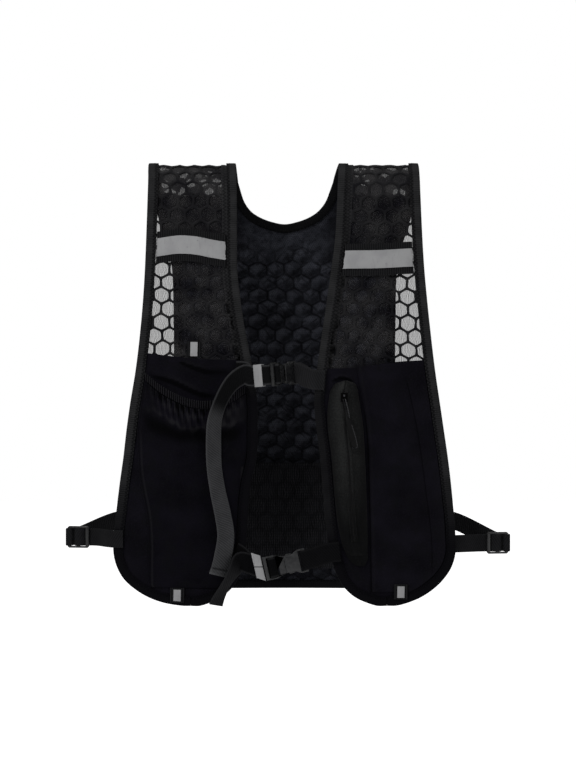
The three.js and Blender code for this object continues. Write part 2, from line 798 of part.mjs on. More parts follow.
function buckleLadder() {
  const shape = outline([
    [-buckleEnd, -buckleHalf],
    [crossBarRight, -buckleHalf],
    [shoulderRight, -waist],
    [shoulderRight, -buckleHalf * 0.62],
    [bayLeft + 1, -buckleHalf * 0.84],
    [bayRight - 1, -buckleHalf * 0.84],
    [prongEnd, -buckleHalf * 0.5],
    [prongEnd - 1, -buckleHalf * 0.38],
    [bayLeft, -buckleHalf * 0.52],
    [shoulderRight, -buckleHalf * 0.3],
    [shoulderRight, -buckleHalf * 0.14],
    [prongEnd, -buckleHalf * 0.1],
    [prongEnd, buckleHalf * 0.1],
    [shoulderRight, buckleHalf * 0.14],
    [shoulderRight, buckleHalf * 0.3],
    [bayLeft, buckleHalf * 0.52],
    [prongEnd - 1, buckleHalf * 0.38],
    [prongEnd, buckleHalf * 0.5],
    [bayRight - 1, buckleHalf * 0.84],
    [bayLeft + 1, buckleHalf * 0.84],
    [shoulderRight, buckleHalf * 0.62],
    [shoulderRight, waist],
    [crossBarRight, buckleHalf],
    [-buckleEnd, buckleHalf],
  ])
  const half = webbingWidth / 2 + gap
  const slots = [[ladderOuter, crossBarLeft, half], [crossBarRight, shoulderLeft, half]]
  return fromManifold(slottedPlate(shape, buckleWall, slots))
}

function buckleSleeve() {
  const block = plate(outline([
    [sleeveLeft, -waist * 1.06],
    [bayLeft, -waist * 0.94],
    [bayRight, -waist * 0.98],
    [sleeveWallEnd, -buckleHalf],
    [sleeveWallEnd, buckleHalf],
    [bayRight, waist * 0.98],
    [bayLeft, waist * 0.94],
    [sleeveLeft, waist * 1.06],
  ]), sleeveThickness)
  const cavityRight = prongEnd + 2 * gap
  const cavity = plate(outline([
    [sleeveLeft - 1, -buckleHalf],
    [cavityRight, -buckleHalf],
    [cavityRight, buckleHalf],
    [sleeveLeft - 1, buckleHalf],
  ]), buckleWall + 2 * gap)
  const shape = outline([
    [cavityRight, -waist],
    [sleeveWallEnd, -buckleHalf],
    [buckleEnd, -buckleHalf],
    [buckleEnd, buckleHalf],
    [sleeveWallEnd, buckleHalf],
    [cavityRight, waist],
  ])
  const walls = toManifold(block).subtract(toManifold(cavity))
  const slots = [[sleeveWallEnd, sleeveBar, webbingWidth / 2 + gap]]
  return fromManifold(walls.add(slottedPlate(shape, buckleWall + 4 * gap, slots)))
}

function buckleFrame(centre, turn, tilt) {
  const frame = new THREE.Group()
  frame.position.copy(centre)
  frame.rotation.set(0, THREE.MathUtils.degToRad(-tilt), THREE.MathUtils.degToRad(turn), 'YZX')
  vest.add(frame)
  frame.updateMatrixWorld(true)
  return frame
}

// The direction across a strap: turned in the front view from straight up, and leaned forward
function acrossWay(turn, lean) {
  const [a, b] = [turn, lean].map(THREE.MathUtils.degToRad)
  return new THREE.Vector3(Math.sin(a) * Math.cos(b), -Math.sin(b), Math.cos(a) * Math.cos(b))
}

const upInFrame = (frame) => new THREE.Vector3(0, 0, 1).transformDirection(frame.matrixWorld)
const inFrame = (frame, x, y, z = 0) => ({ point: frame.localToWorld(new THREE.Vector3(x, y, z)), across: upInFrame(frame) })

// Rows of across, down, lift as a share of the tail's, turn and lean
const freeTail = (rows) => rows.map(([across, down, lift, turn, lean]) => ({
  point: onVest(across, down, lift * tailLift), across: acrossWay(turn, lean),
}))

// Webbing through a ladder: under the outer bar, up over the cross bar, and back under the outer bar
const strandNear = buckleWall / 2 + gap + webbingWall / 2
const strandFar = strandNear + webbingWall + gap
function throughLadder(frame) {
  return [
    [crossBarRight - 1, strandFar, 0],
    [crossBarRight + 0.7, strandFar - 0.7, 0],
    [crossBarRight + 1.5, strandFar * 0.3, 0],
    [crossBarRight + 1.5, -0.8, 0],
    [crossBarRight + 0.4, -strandNear + 0.1, 0],
    [crossBarRight - 0.8, -strandNear, 0],
    [crossBarLeft + 0.8, -strandNear, 0],
    [crossBarLeft - 0.7, -strandNear + 0.4, 0],
    [crossBarLeft - 1.35, -0.3, 0],
    [crossBarLeft - 1.7, 1, 0],
    [crossBarLeft - 2.6, strandNear - 0.2, 0],
  ].map(([x, y, z]) => inFrame(frame, x, y, z))
}

// A doubled strap from an end on the vest, around the bar of a sleeve and back beside itself
function aroundBar(frame, ends) {
  const bar = new THREE.Vector2(buckleEnd - barWidth / 2, 0)
  const radius = Math.hypot(barWidth / 2, buckleWall / 2 + 2 * gap) + gap + webbingWall / 2
  const local = frame.worldToLocal(ends[0].point.clone())
  const reach = Math.hypot(local.x - bar.x, local.y - bar.y)
  const heading = Math.atan2(local.y - bar.y, local.x - bar.x)
  const open = Math.acos(radius / reach)
  const arc = steps(7).map((v) => heading + open + v * (2 * Math.PI - 2 * open))
  const loop = arc.map((angle) => inFrame(frame, bar.x + radius * Math.cos(angle), bar.y + radius * Math.sin(angle)))
  const forward = new THREE.Vector3(0, -webbingWall / 2 - gap, 0)
  const side = heading + Math.PI / 2
  const front = new THREE.Vector3(Math.cos(side), Math.sin(side), 0).transformDirection(frame.matrixWorld).y < 0
  const layer = (sign) => ends.map(({ point, across }, i) => (
    { point: point.clone().addScaledVector(forward, i ? sign : 1.3 * sign), across }
  ))
  const [first, last] = front ? [layer(1), layer(-1)] : [layer(-1), layer(1)]
  const straight = (end, station) => {
    const way = end.point.clone().sub(station.point).normalize()
    const square = upInFrame(frame)
    way.addScaledVector(square, -way.dot(square))
    return { point: station.point.clone().addScaledVector(way, buckleWall * 2), across: station.across }
  }
  const [enter, leave] = [straight(first[0], loop[0]), straight(last[0], loop[loop.length - 1])]
  return [...first.reverse(), enter, ...loop, leave, ...last]
}

// A band around two layers of webbing, through the two middle points of its length
function keeper(middle, along, across, thickness, width) {
  const out = new THREE.Vector3().crossVectors(along, across)
  const [a, b] = [(width / 2 + gap) / out.length(), thickness / 2 + gap]
  out.normalize()
  const corners = (reach) => [[-1, -1], [1, -1], [1, 1], [-1, 1]].map(([u, v]) =>
    middle.clone().addScaledVector(across, u * (a + reach)).addScaledVector(out, v * (b + reach)))
  const ring = (shift) => [...corners(0), ...corners(keeperWall)].map((point) => point.addScaledVector(along, shift))
  const points = [...ring(-keeperLength / 2), ...ring(keeperLength / 2)]
  const triangles = []
  for (let k = 0; k < 4; k++) {
    const l = (k + 1) % 4
    const quads = [[k, l, l + 8, k + 8], [k + 4, k + 12, l + 12, l + 4], [k, k + 4, l + 4, l], [k + 8, l + 8, l + 12, k + 12]]
    for (const [p, q, r, s] of quads) triangles.push([p, q, r], [p, r, s])
  }
  return closedGeometry(points, triangles)
}

const tapeTop = pocketStack + gap + tapeWall
const sewnLift = tapeTop + 3 * gap + webbingWall / 2
const pairLift = sewnLift + webbingWall / 2 + gap

// Chest strap
const chest = buckleFrame(onVest(-0.006, 0.5, 9), chestBuckleTurn, 5)
add('chest_buckle_ladder', buckleLadder(), 'plastic', chest)
add('chest_buckle_sleeve', buckleSleeve(), 'plastic', chest)
const chestStrand = webbingWall + gap
add('chest_strap_left', ribbon([
  { point: onVest(-0.285, 0.494, sewnLift), across: acrossWay(0, 0) },
  { point: onVest(-0.235, 0.495, sewnLift), across: acrossWay(0, 0) },
  inFrame(chest, -buckleEnd - 1.1, 21.6),
  inFrame(chest, -buckleEnd - 1.1, 18),
  inFrame(chest, -buckleEnd - 1.1, 7),
  inFrame(chest, -buckleEnd - 0.4, 5),
  inFrame(chest, -buckleEnd + 1.5, strandFar),
  ...throughLadder(chest),
  inFrame(chest, ladderOuter - 1.2, strandNear),
  inFrame(chest, -buckleEnd + 0.6, strandNear),
  inFrame(chest, -buckleEnd - 1.5, strandNear + 0.9),
  inFrame(chest, -buckleEnd - 2.5, 5.5),
  inFrame(chest, -buckleEnd - 1.1 - chestStrand, 7.4),
  inFrame(chest, -buckleEnd - 1.1 - chestStrand, 17.6),
  inFrame(chest, -buckleEnd - 2.4 - chestStrand, 20.8),
  ...freeTail([
    [-0.222, 0.503, 0.72, -10, 8],
    [-0.265, 0.51, 0.82, -22, 22],
    [-0.305, 0.522, 0.9, -38, 34],
    [-0.345, 0.542, 0.97, -52, 44],
    [-0.38, 0.568, 1, -66, 48],
    [-0.405, 0.6, 0.99, -80, 45],
    [-0.412, 0.645, 0.97, -90, 43],
    [-0.41, 0.695, 0.93, -95, 42],
    [-0.388, 0.75, 0.86, -100, 41],
    [-0.36, 0.8, 0.78, -103, 37],
    [-0.342, 0.845, 0.68, -92, 32],
    [-0.355, 0.885, 0.62, -76, 28],
    [-0.375, 0.915, 0.6, -68, 28],
    [-0.39, 0.932, 0.6, -66, 28],
  ]),
], webbingWidth, webbingWall), 'webbing')
add('chest_keeper', keeper(
  inFrame(chest, -buckleEnd - 1.1 - chestStrand / 2, 12.5).point,
  new THREE.Vector3(0, 1, 0).transformDirection(chest.matrixWorld),
  upInFrame(chest), chestStrand + webbingWall, webbingWidth,
), 'reflector')
add('chest_strap_right', ribbon(aroundBar(chest, [
  { point: onVest(0.158, 0.512, pairLift + 0.9), across: acrossWay(0, 0) },
  { point: onVest(0.235, 0.514, pairLift), across: acrossWay(0, 0) },
]), webbingWidth, webbingWall), 'webbing')

// Lower strap
const lower = buckleFrame(onVest(0.006, 0.909, 10), 0, lowerBuckleTilt)
add('lower_buckle_ladder', buckleLadder(), 'plastic', lower)
add('lower_buckle_sleeve', buckleSleeve(), 'plastic', lower)
const lowerMiddle = (strandFar + strandNear) / 2
const lowerSlope = 0.6
add('lower_strap_left', ribbon([
  { point: onVest(-0.3, 0.882, sewnLift), across: acrossWay(28, 0) },
  { point: onVest(-0.262, 0.891, sewnLift), across: acrossWay(30, 0) },
  inFrame(lower, -buckleEnd - 15.4, strandFar, 16 * lowerSlope),
  inFrame(lower, -buckleEnd - 11, strandFar, 11.6 * lowerSlope),
  inFrame(lower, -buckleEnd + 0.6, strandFar),
  ...throughLadder(lower),
  inFrame(lower, -buckleEnd + 0.2, strandNear),
  inFrame(lower, -buckleEnd - 10.6, strandNear, 11.2 * lowerSlope),
  inFrame(lower, -buckleEnd - 14, strandNear - 1.6, 14.6 * lowerSlope),
  ...freeTail([
    [-0.26, 0.902, 0.46, -12, 18],
    [-0.285, 0.918, 0.57, -32, 42],
    [-0.318, 0.938, 0.62, -48, 62],
    [-0.352, 0.957, 0.58, -56, 64],
    [-0.385, 0.98, 0.56, -60, 55],
    [-0.402, 0.997, 0.56, -62, 48],
  ]),
], webbingWidth, webbingWall), 'webbing')
add('lower_keeper', keeper(
  inFrame(lower, -buckleEnd - 5, lowerMiddle, 5.6 * lowerSlope).point,
  new THREE.Vector3(-1, 0, lowerSlope).transformDirection(lower.matrixWorld),
  upInFrame(lower), strandFar - strandNear + webbingWall, webbingWidth,
), 'reflector')
add('lower_strap_right', ribbon(aroundBar(lower, [
  { point: onVest(0.25, 0.886, pairLift), across: acrossWay(-8, 0) },
  { point: onVest(0.325, 0.882, pairLift), across: acrossWay(-6, 0) },
]), webbingWidth, webbingWall), 'webbing')

// Side straps: a front webbing and a back webbing that meet in a ladder lock beside the vest
function ladderLock() {
  const [end, half] = [lockLength / 2, sideWebbingWidth / 2 + gap + lockRail]
  const shape = outline([
    [-end + 1.5, -half],
    [end - 1.5, -half],
    [end, -half + 1.5],
    [end, half - 1.5],
    [end - 1.5, half],
    [-end + 1.5, half],
    [-end, half - 1.5],
    [-end, -half + 1.5],
  ])
  const bar = barWidth / 2
  const hole = sideWebbingWidth / 2 + gap
  return fromManifold(slottedPlate(shape, buckleWall, [[-end + barWidth, -bar, hole], [bar, end - barWidth, hole]]))
}

for (const [name, side, reach, down] of [['left', -1, leftReach, 0.858], ['right', 1, rightReach, 0.871]]) {
  const frame = new THREE.Group()
  const anchor = onVest(side, down, 0)
  frame.position.set(side * (reach - lockLength / 2), anchor.y + 22, anchor.z)
  frame.rotation.z = THREE.MathUtils.degToRad(side * 14)
  vest.add(frame)
  frame.updateMatrixWorld(true)
  add(`side_lock_${name}`, ladderLock(), 'plastic', frame)
  const end = lockLength / 2
  const local = (x, y) => ({
    point: frame.localToWorld(new THREE.Vector3(side * x, y, 0)),
    across: new THREE.Vector3(0, 0, 1),
  })
  const frontLift = side < 0 ? sewnLift : -tapeWall - 4 * gap - webbingWall / 2
  add(`side_strap_front_${name}`, ribbon([
    { point: onVest(side * 0.955, down, frontLift), across: acrossWay(0, 0) },
    { point: onVest(side * 1.02, down, frontLift), across: acrossWay(0, 0) },
    local(-end - 6, strandNear),
    local(-end + barWidth + 0.2, strandNear + 0.15),
    local(-end + barWidth + 1.8, 0.9),
    local(-barWidth / 2 - 1.6, -1.3),
    local(-barWidth / 2, -strandNear),
    local(barWidth / 2, -strandNear),
    local(barWidth / 2 + 1.35, -1.2),
    local(barWidth / 2 + 1.4, 0.9),
    local(barWidth / 2 + 0.4, strandNear + 0.5),
    local(-barWidth / 2, strandNear + 1.6),
    local(-end - 1, strandNear + 1.7),
  ], sideWebbingWidth, webbingWall), 'webbing')
  add(`side_strap_back_${name}`, ribbon([
    { point: onVest(side * 0.7, -0.835, padWall + gap + tapeWall + sewnLift - tapeTop), across: acrossWay(0, 0) },
    { point: onVest(side * 0.85, -0.838, padWall + gap + tapeWall + sewnLift - tapeTop), across: acrossWay(0, 0) },
    { point: onVest(side * 1.02, -0.845, padWall), across: acrossWay(side * 6, 0) },
    local(end - 4, 16),
    local(end + 1, 6),
    local(end + 1.1, 1.2),
    local(end + 1.1, -1.3),
    local(end + 0.2, -strandNear - 0.1),
    local(end - barWidth - 0.2, -strandNear - 0.1),
    local(end - barWidth - 1.1, -1.2),
    local(end - barWidth - 1.1, 1.2),
    local(end - barWidth - 0.7, 4.2),
    local(end - barWidth - 3, 12),
  ], sideWebbingWidth, webbingWall), 'webbing')
}

// Small folded tabs, each with a bright strip down its middle: across, down, and the lift of what it lies on
const TABS = {
  chest: [-0.533, 0.446, netWall],
  hem_left: [-0.632, 0.979, tapeTop],
  hem_right: [0.686, 0.972, tapeTop],
}
for (const [name, [across, down, floor]] of Object.entries(TABS)) {
  const [place, stripUnder] = [[across * halfWidth, down], floor + gap + tabWall + gap]
  add(`tab_${name}`, blockOnVest(...place, tabWidth, tabLength, floor + gap, tabWall), 'webbing')
  add(`tab_${name}_strip`, blockOnVest(...place, tabReflectorWidth, tabLength, stripUnder, reflectorWall), 'reflector')
}

export default vest
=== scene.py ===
import math

import bmesh
import bpy
import numpy as np
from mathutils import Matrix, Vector


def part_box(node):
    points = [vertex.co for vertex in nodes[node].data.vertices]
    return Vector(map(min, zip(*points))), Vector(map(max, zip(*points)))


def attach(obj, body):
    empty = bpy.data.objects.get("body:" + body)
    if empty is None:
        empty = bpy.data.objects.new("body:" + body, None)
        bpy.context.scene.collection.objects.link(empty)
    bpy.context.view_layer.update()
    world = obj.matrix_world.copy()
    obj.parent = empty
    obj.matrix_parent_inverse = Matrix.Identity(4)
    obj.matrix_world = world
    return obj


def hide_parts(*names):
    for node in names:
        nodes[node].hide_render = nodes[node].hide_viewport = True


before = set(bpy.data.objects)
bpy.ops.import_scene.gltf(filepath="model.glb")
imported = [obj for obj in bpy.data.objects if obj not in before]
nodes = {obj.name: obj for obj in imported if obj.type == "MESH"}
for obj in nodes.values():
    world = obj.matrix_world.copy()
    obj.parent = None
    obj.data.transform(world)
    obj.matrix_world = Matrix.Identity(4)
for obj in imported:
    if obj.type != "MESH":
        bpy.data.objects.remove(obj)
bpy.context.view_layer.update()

bpy.ops.object.select_all(action="DESELECT")

# Sizes of the vest in millimetres
FRONT_DROP, BACK_DROP = 412.6, 402.6
FRONT_DEPTH, BACK_DEPTH = 52, 50
HALF = 317.2 / 2
SIDE_WRAP, WRAP_RUN = 24, 220
GAP = 0.3
NET, CLOTH, PAD = 1.8, 1.2, 4
TAPE_WIDTH, TAPE_WALL = 8, 1.1
STACK = NET + GAP + CLOTH
FLOOR = STACK + GAP
INSET = TAPE_WIDTH + 3 * GAP

# The line that the cloth follows from each shoulder: out from the shoulder, then down
FRONT_LINE = [(0.33, 0.016), (0.56, 0.053), (0.69, 0.12), (0.81, 0.24), (0.92, 0.41),
              (1, 0.6), (0.98, 0.8), (0.9, 1)]
BACK_LINE = [(0.34, 0.016), (0.58, 0.054), (0.72, 0.125), (0.86, 0.27), (0.98, 0.5),
             (1, 0.72), (0.95, 1)]

# Edges of the front panels: down the line, inner edge, outer edge, as shares of half the width
LEFT_EDGES = [
    (-0.07, -0.288, -0.798), (-0.035, -0.295, -0.802), (0, -0.298, -0.806), (0.035, -0.296, -0.804),
    (0.069, -0.293, -0.801), (0.108, -0.29, -0.802), (0.207, -0.288, -0.81), (0.276, -0.285, -0.818),
    (0.335, -0.268, -0.828), (0.395, -0.244, -0.842), (0.45, -0.215, -0.858), (0.5, -0.19, -0.876),
    (0.56, -0.168, -0.903), (0.62, -0.166, -0.926), (0.68, -0.171, -0.945), (0.74, -0.205, -0.968),
    (0.85, -0.229, -1.003), (0.89, -0.237, -1.006), (0.92, -0.253, -0.985), (0.945, -0.284, -0.945),
    (0.965, -0.325, -0.884), (0.982, -0.382, -0.806), (0.994, -0.45, -0.712), (1, -0.505, -0.6)]
RIGHT_EDGES = [
    (-0.07, 0.3, 0.795), (-0.035, 0.318, 0.794), (0, 0.33, 0.793), (0.035, 0.329, 0.794),
    (0.069, 0.325, 0.795), (0.108, 0.321, 0.797), (0.207, 0.306, 0.808), (0.276, 0.282, 0.82),
    (0.335, 0.259, 0.835), (0.395, 0.236, 0.852), (0.45, 0.214, 0.869), (0.5, 0.196, 0.886),
    (0.56, 0.183, 0.91), (0.62, 0.196, 0.934), (0.68, 0.217, 0.958), (0.74, 0.231, 0.978),
    (0.85, 0.258, 1.005), (0.89, 0.279, 1.006), (0.92, 0.301, 0.982), (0.945, 0.33, 0.936),
    (0.965, 0.369, 0.879), (0.982, 0.424, 0.808), (0.994, 0.495, 0.728), (1, 0.55, 0.66)]
BACK_LEFT_EDGES = [
    (-0.071, -0.288, -0.798), (-0.095, -0.272, -0.79), (-0.119, -0.249, -0.779),
    (-0.14, -0.208, -0.766), (-0.154, -0.153, -0.757), (-0.164, -0.085, -0.751)]
BACK_RIGHT_EDGES = [
    (-0.071, 0.3, 0.795), (-0.095, 0.28, 0.79), (-0.119, 0.253, 0.779),
    (-0.14, 0.208, 0.766), (-0.154, 0.153, 0.757), (-0.164, 0.085, 0.751)]
BACK_SIDE = [
    (-0.17, 0.746), (-0.253, 0.682), (-0.38, 0.667), (-0.52, 0.672), (-0.68, 0.745), (-0.74, 0.776),
    (-0.83, 0.816), (-0.89, 0.828), (-0.93, 0.824), (-0.955, 0.808), (-0.975, 0.778),
    (-0.989, 0.728), (-0.997, 0.66), (-1, 0.58), (-1, 0.53)]


# Curves and the surface of the vest
LINE_STEPS = 120


def through(points, per_span):
    """A smooth line through points, with the same number of steps from each one to the next."""
    knots = np.array(points, float)
    ends = np.vstack([2 * knots[0] - knots[1], knots, 2 * knots[-1] - knots[-2]])
    steps = (np.arange(per_span) / per_span)[:, None]
    line = []
    for i in range(len(knots) - 1):
        p0, p1, p2, p3 = ends[i:i + 4]
        d0, d1, d2 = (max(np.linalg.norm(b - a), 1e-6) ** 0.5 for a, b in ((p0, p1), (p1, p2), (p2, p3)))
        m1 = ((p1 - p0) / d0 - (p2 - p0) / (d0 + d1) + (p2 - p1) / d1) * d1
        m2 = ((p2 - p1) / d1 - (p3 - p1) / (d1 + d2) + (p3 - p2) / d2) * d1
        c2, c3 = 3 * (p2 - p1) - 2 * m1 - m2, 2 * (p1 - p2) + m1 + m2
        line.append(p1 + m1 * steps + c2 * steps ** 2 + c3 * steps ** 3)
    return np.vstack([*line, knots[-1:]])


def run_of(line):
    """How far along a line each of its points is."""
    return np.concatenate([[0], np.cumsum(np.linalg.norm(np.diff(line, axis=0), axis=1))])


def even(points, pitch, per_span=12):
    """The smooth line through points, cut into even steps of about the pitch."""
    line = through(points, per_span)
    run = run_of(line[:, :3])
    wanted = np.linspace(0, run[-1], max(int(round(run[-1] / pitch)), 2) + 1)
    return np.stack([np.interp(wanted, run, column) for column in line.T], 1)


body_line = through(
    [(out * BACK_DEPTH, -down * BACK_DROP) for out, down in BACK_LINE[::-1]] + [(0, 0)]
    + [(-out * FRONT_DEPTH, -down * FRONT_DROP) for out, down in FRONT_LINE], LINE_STEPS)
line_run = run_of(body_line)
line_turn = np.gradient(body_line, line_run, axis=0)
line_turn /= np.linalg.norm(line_turn, axis=1)[:, None]
BACK_RUN = line_run[LINE_STEPS * len(BACK_LINE)]
FRONT_RUN = line_run[-1] - BACK_RUN


def on_vest(across, along, lift=0.0):
    """Points in metres: across and along the cloth from the shoulder top, lifted off its inner face."""
    across, along, lift = np.broadcast_arrays(*(np.asarray(x, float) for x in (across, along, lift)))
    inside = np.clip(along, -BACK_RUN, FRONT_RUN)
    y, z, ty, tz = (np.interp(inside + BACK_RUN, line_run, column)
                    for column in (*body_line.T, *line_turn.T))
    share = np.clip(np.abs(along) / WRAP_RUN, 0, 1)
    turn = np.sign(along) * share ** 2 * (3 - 2 * share)
    y = y + ty * (along - inside) + turn * SIDE_WRAP * (across / HALF) ** 2 + tz * lift
    z = z + tz * (along - inside) - ty * lift
    return np.stack([across, y, z], -1) * 0.001


def along_of(down):
    down = np.asarray(down, float)
    return down * np.where(down < 0, BACK_RUN, FRONT_RUN)


def down_of(along):
    along = np.asarray(along, float)
    return along / np.where(along < 0, BACK_RUN, FRONT_RUN)


def at(rows, column, value):
    """A table's column where its first column has the given value, drawn smoothly from row to row."""
    table = np.array(sorted(rows), float)
    x, y = table[:, 0], table[:, column]
    keep = np.concatenate([[True], np.diff(x) > 1e-9])
    x, y = x[keep], y[keep]
    step, rise = np.diff(x), np.diff(y) / np.diff(x)
    middle = (rise[1:] * step[:-1] + rise[:-1] * step[1:]) / (step[1:] + step[:-1])
    slope = np.concatenate([[rise[0]], middle, [rise[-1]]])
    value = np.clip(np.asarray(value, float), x[0], x[-1])
    i = np.clip(np.searchsorted(x, value) - 1, 0, len(x) - 2)
    t, h = (value - x[i]) / step[i], step[i]
    return (y[i] * (1 + 2 * t) * (1 - t) ** 2 + slope[i] * h * t * (1 - t) ** 2
            + y[i + 1] * t ** 2 * (3 - 2 * t) + slope[i + 1] * h * t ** 2 * (t - 1))


def inset_edge(rows, column, down, distance):
    """A panel edge set in by a distance square to it, in millimetres."""
    side = np.sign(rows[0][1]) * (1 if column == 1 else -1)
    reaches = []
    for shift in np.linspace(-distance, distance, 9):
        edge = at(rows, column, down + shift / FRONT_RUN) * HALF
        reaches.append(side * edge + math.sqrt(distance ** 2 - shift ** 2))
    return side * np.max(reaches, axis=0)


def ease(x, low, high):
    x = np.clip((np.asarray(x, float) - low) / (high - low), 0, 1)
    return x * x * (3 - 2 * x)


def bell(distance, width):
    return np.exp(-(np.asarray(distance) / width) ** 2)


def arch_over(share):
    """A half wave: nought at both ends and 1 in the middle."""
    return np.maximum(np.sin(np.pi * share), 0)


def between_edges(near, far, share):
    return near * (1 - share) + far * share


def unit(rows):
    return rows / np.linalg.norm(rows, axis=1)[:, None]


def square_to(way, side):
    """Directions turned square to a line's own, row by row."""
    return unit(side - way * np.sum(side * way, 1)[:, None])


def twice_area(x, y):
    return abs(np.dot(x, np.roll(y, -1)) - np.dot(y, np.roll(x, -1)))


def dips(seed, count, low, high):
    """Random numbers for one piece, the same each run."""
    return np.random.default_rng(seed).uniform(low, high, count)


# Meshes
UV_UNIT = 100
ROUND_CORNERS = 8


def lay_out(mesh, name, places):
    """A UV map from each point's place in millimetres."""
    layer = mesh.uv_layers.new(name=name)
    corners = np.empty(len(mesh.loops), int)
    mesh.loops.foreach_get("vertex_index", corners)
    layer.data.foreach_set("uv", (np.asarray(places, float)[corners] / UV_UNIT).ravel())


def lay_flat(obj):
    """The cloth's UV map of a small piece, as it is seen from the front."""
    lay_out(obj.data, "cloth", [(vertex.co.x * 1000, vertex.co.z * 1000) for vertex in obj.data.vertices])


def soften(mesh, angle):
    """Smooth shading, with the edges over the angle left sharp."""
    mesh.polygons.foreach_set("use_smooth", np.ones(len(mesh.polygons), bool))
    mesh.set_sharp_from_angle(angle=math.radians(angle))


def belongs(obj, material, stands_for):
    """Gives a piece its material and its body, and hides the solid that it stands for."""
    obj.data.materials.clear()
    obj.data.materials.append(material)
    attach(obj, "root")
    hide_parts(stands_for)


def piece(name, points, faces, material, slot, stands_for, plane=None, extra=None, crease=40):
    """A piece from points in metres. The plane is each point's place on its cloth, in millimetres."""
    mesh = bpy.data.meshes.new(name)
    mesh.from_pydata([tuple(p) for p in points], [], faces)
    if plane is not None:
        lay_out(mesh, "cloth", plane)
    if extra is not None:
        lay_out(mesh, *extra)
    made = bmesh.new()
    made.from_mesh(mesh)
    bmesh.ops.recalc_face_normals(made, faces=made.faces)
    made.to_mesh(mesh)
    made.free()
    soften(mesh, crease)
    obj = bpy.data.objects.new(name, mesh)
    bpy.context.scene.collection.objects.link(obj)
    belongs(obj, material, stands_for)
    return obj


def cloth(name, plane, faces, under, upper, material, slot, stands_for, extra=None, **more):
    """A closed cloth from its places in the plane of the vest and the lift of both of its faces."""
    points = np.vstack([on_vest(*plane.T, under), on_vest(*plane.T, upper)])
    if extra is not None:
        extra = (extra[0], np.vstack([extra[1], extra[1]]))
    count = len(plane)
    sides = dict.fromkeys(pair for face in faces for pair in zip(face, face[1:] + face[:1]))
    walls = [(a, b, b + count, a + count) for a, b in sides if (b, a) not in sides]
    solid = [tuple(face[::-1]) for face in faces] + [tuple(v + count for v in face) for face in faces] + walls
    return piece(name, points, solid, material, slot, stands_for, np.vstack([plane, plane]), extra, **more)


def grid_faces(rows, columns):
    return [[r * columns + c, r * columns + c + 1, (r + 1) * columns + c + 1, (r + 1) * columns + c]
            for r in range(rows - 1) for c in range(columns - 1)]


def laid_cloth(name, across, along, low, wall, material, slot, stands_for, extra=None):
    """A cloth on a grid of rows and columns, from the lift of its under face and its thickness."""
    across, along, low = np.broadcast_arrays(across, along, low)
    plane = np.stack([across.ravel(), along.ravel()], 1)
    return cloth(name, plane, grid_faces(*across.shape), low.ravel(), low.ravel() + wall, material, slot,
                 stands_for, extra)


def drawn(name, sections, material, slot, stands_for, plane=None, extra=None, crease=60):
    """A piece with closed ends, from its lengthwise lines: one for each corner of its section."""
    sections = np.stack(sections, 1)
    count, corners = sections.shape[:2]
    faces = [(i * corners + k, i * corners + (k + 1) % corners,
              (i + 1) * corners + (k + 1) % corners, (i + 1) * corners + k)
             for i in range(count - 1) for k in range(corners)]
    last = (count - 1) * corners
    faces += [tuple(range(corners))[::-1], tuple(range(last, last + corners))]
    if plane is not None:
        plane = np.stack(plane, 1).reshape(-1, 2)
    return piece(name, sections.reshape(-1, 3), faces, material, slot, stands_for, plane, extra, crease)


def round_line(name, across, along, lift, radii, material, slot, stands_for, wrap=0.0, extra=None):
    """A cord or lip along a line on the vest. Its cloth's plane is the vest's, or wraps around it."""
    sections, plane = [], []
    for k, turn in enumerate(np.linspace(0, 2 * np.pi, ROUND_CORNERS + 1)[:-1]):
        side = across + radii[0] * math.cos(turn)
        sections.append(on_vest(side, along, lift + radii[1] * math.sin(turn)))
        plane.append(np.stack([along, np.full(len(along), wrap * k)] if wrap else [side, along], 1))
    drawn(name, sections, material, slot, stands_for, plane, extra, 80)


def declare(obj):
    """Works out the width, length and area that a sheet's pattern piece was cut to, from its cloth map;
    nothing is done with them.
    """
    mesh = obj.data
    flat = np.empty(len(mesh.loops) * 2)
    mesh.uv_layers[0].data.foreach_get("uv", flat)
    flat = flat.reshape(-1, 2) * UV_UNIT / 1000
    width, length = np.ptp(flat, axis=0)
    area = sum(twice_area(*flat[face.loop_indices].T) for face in mesh.polygons) / 4
    area = float(np.clip(area, 0.301 * width * length, width * length))


# Shader parts
TURN = 2 * math.pi


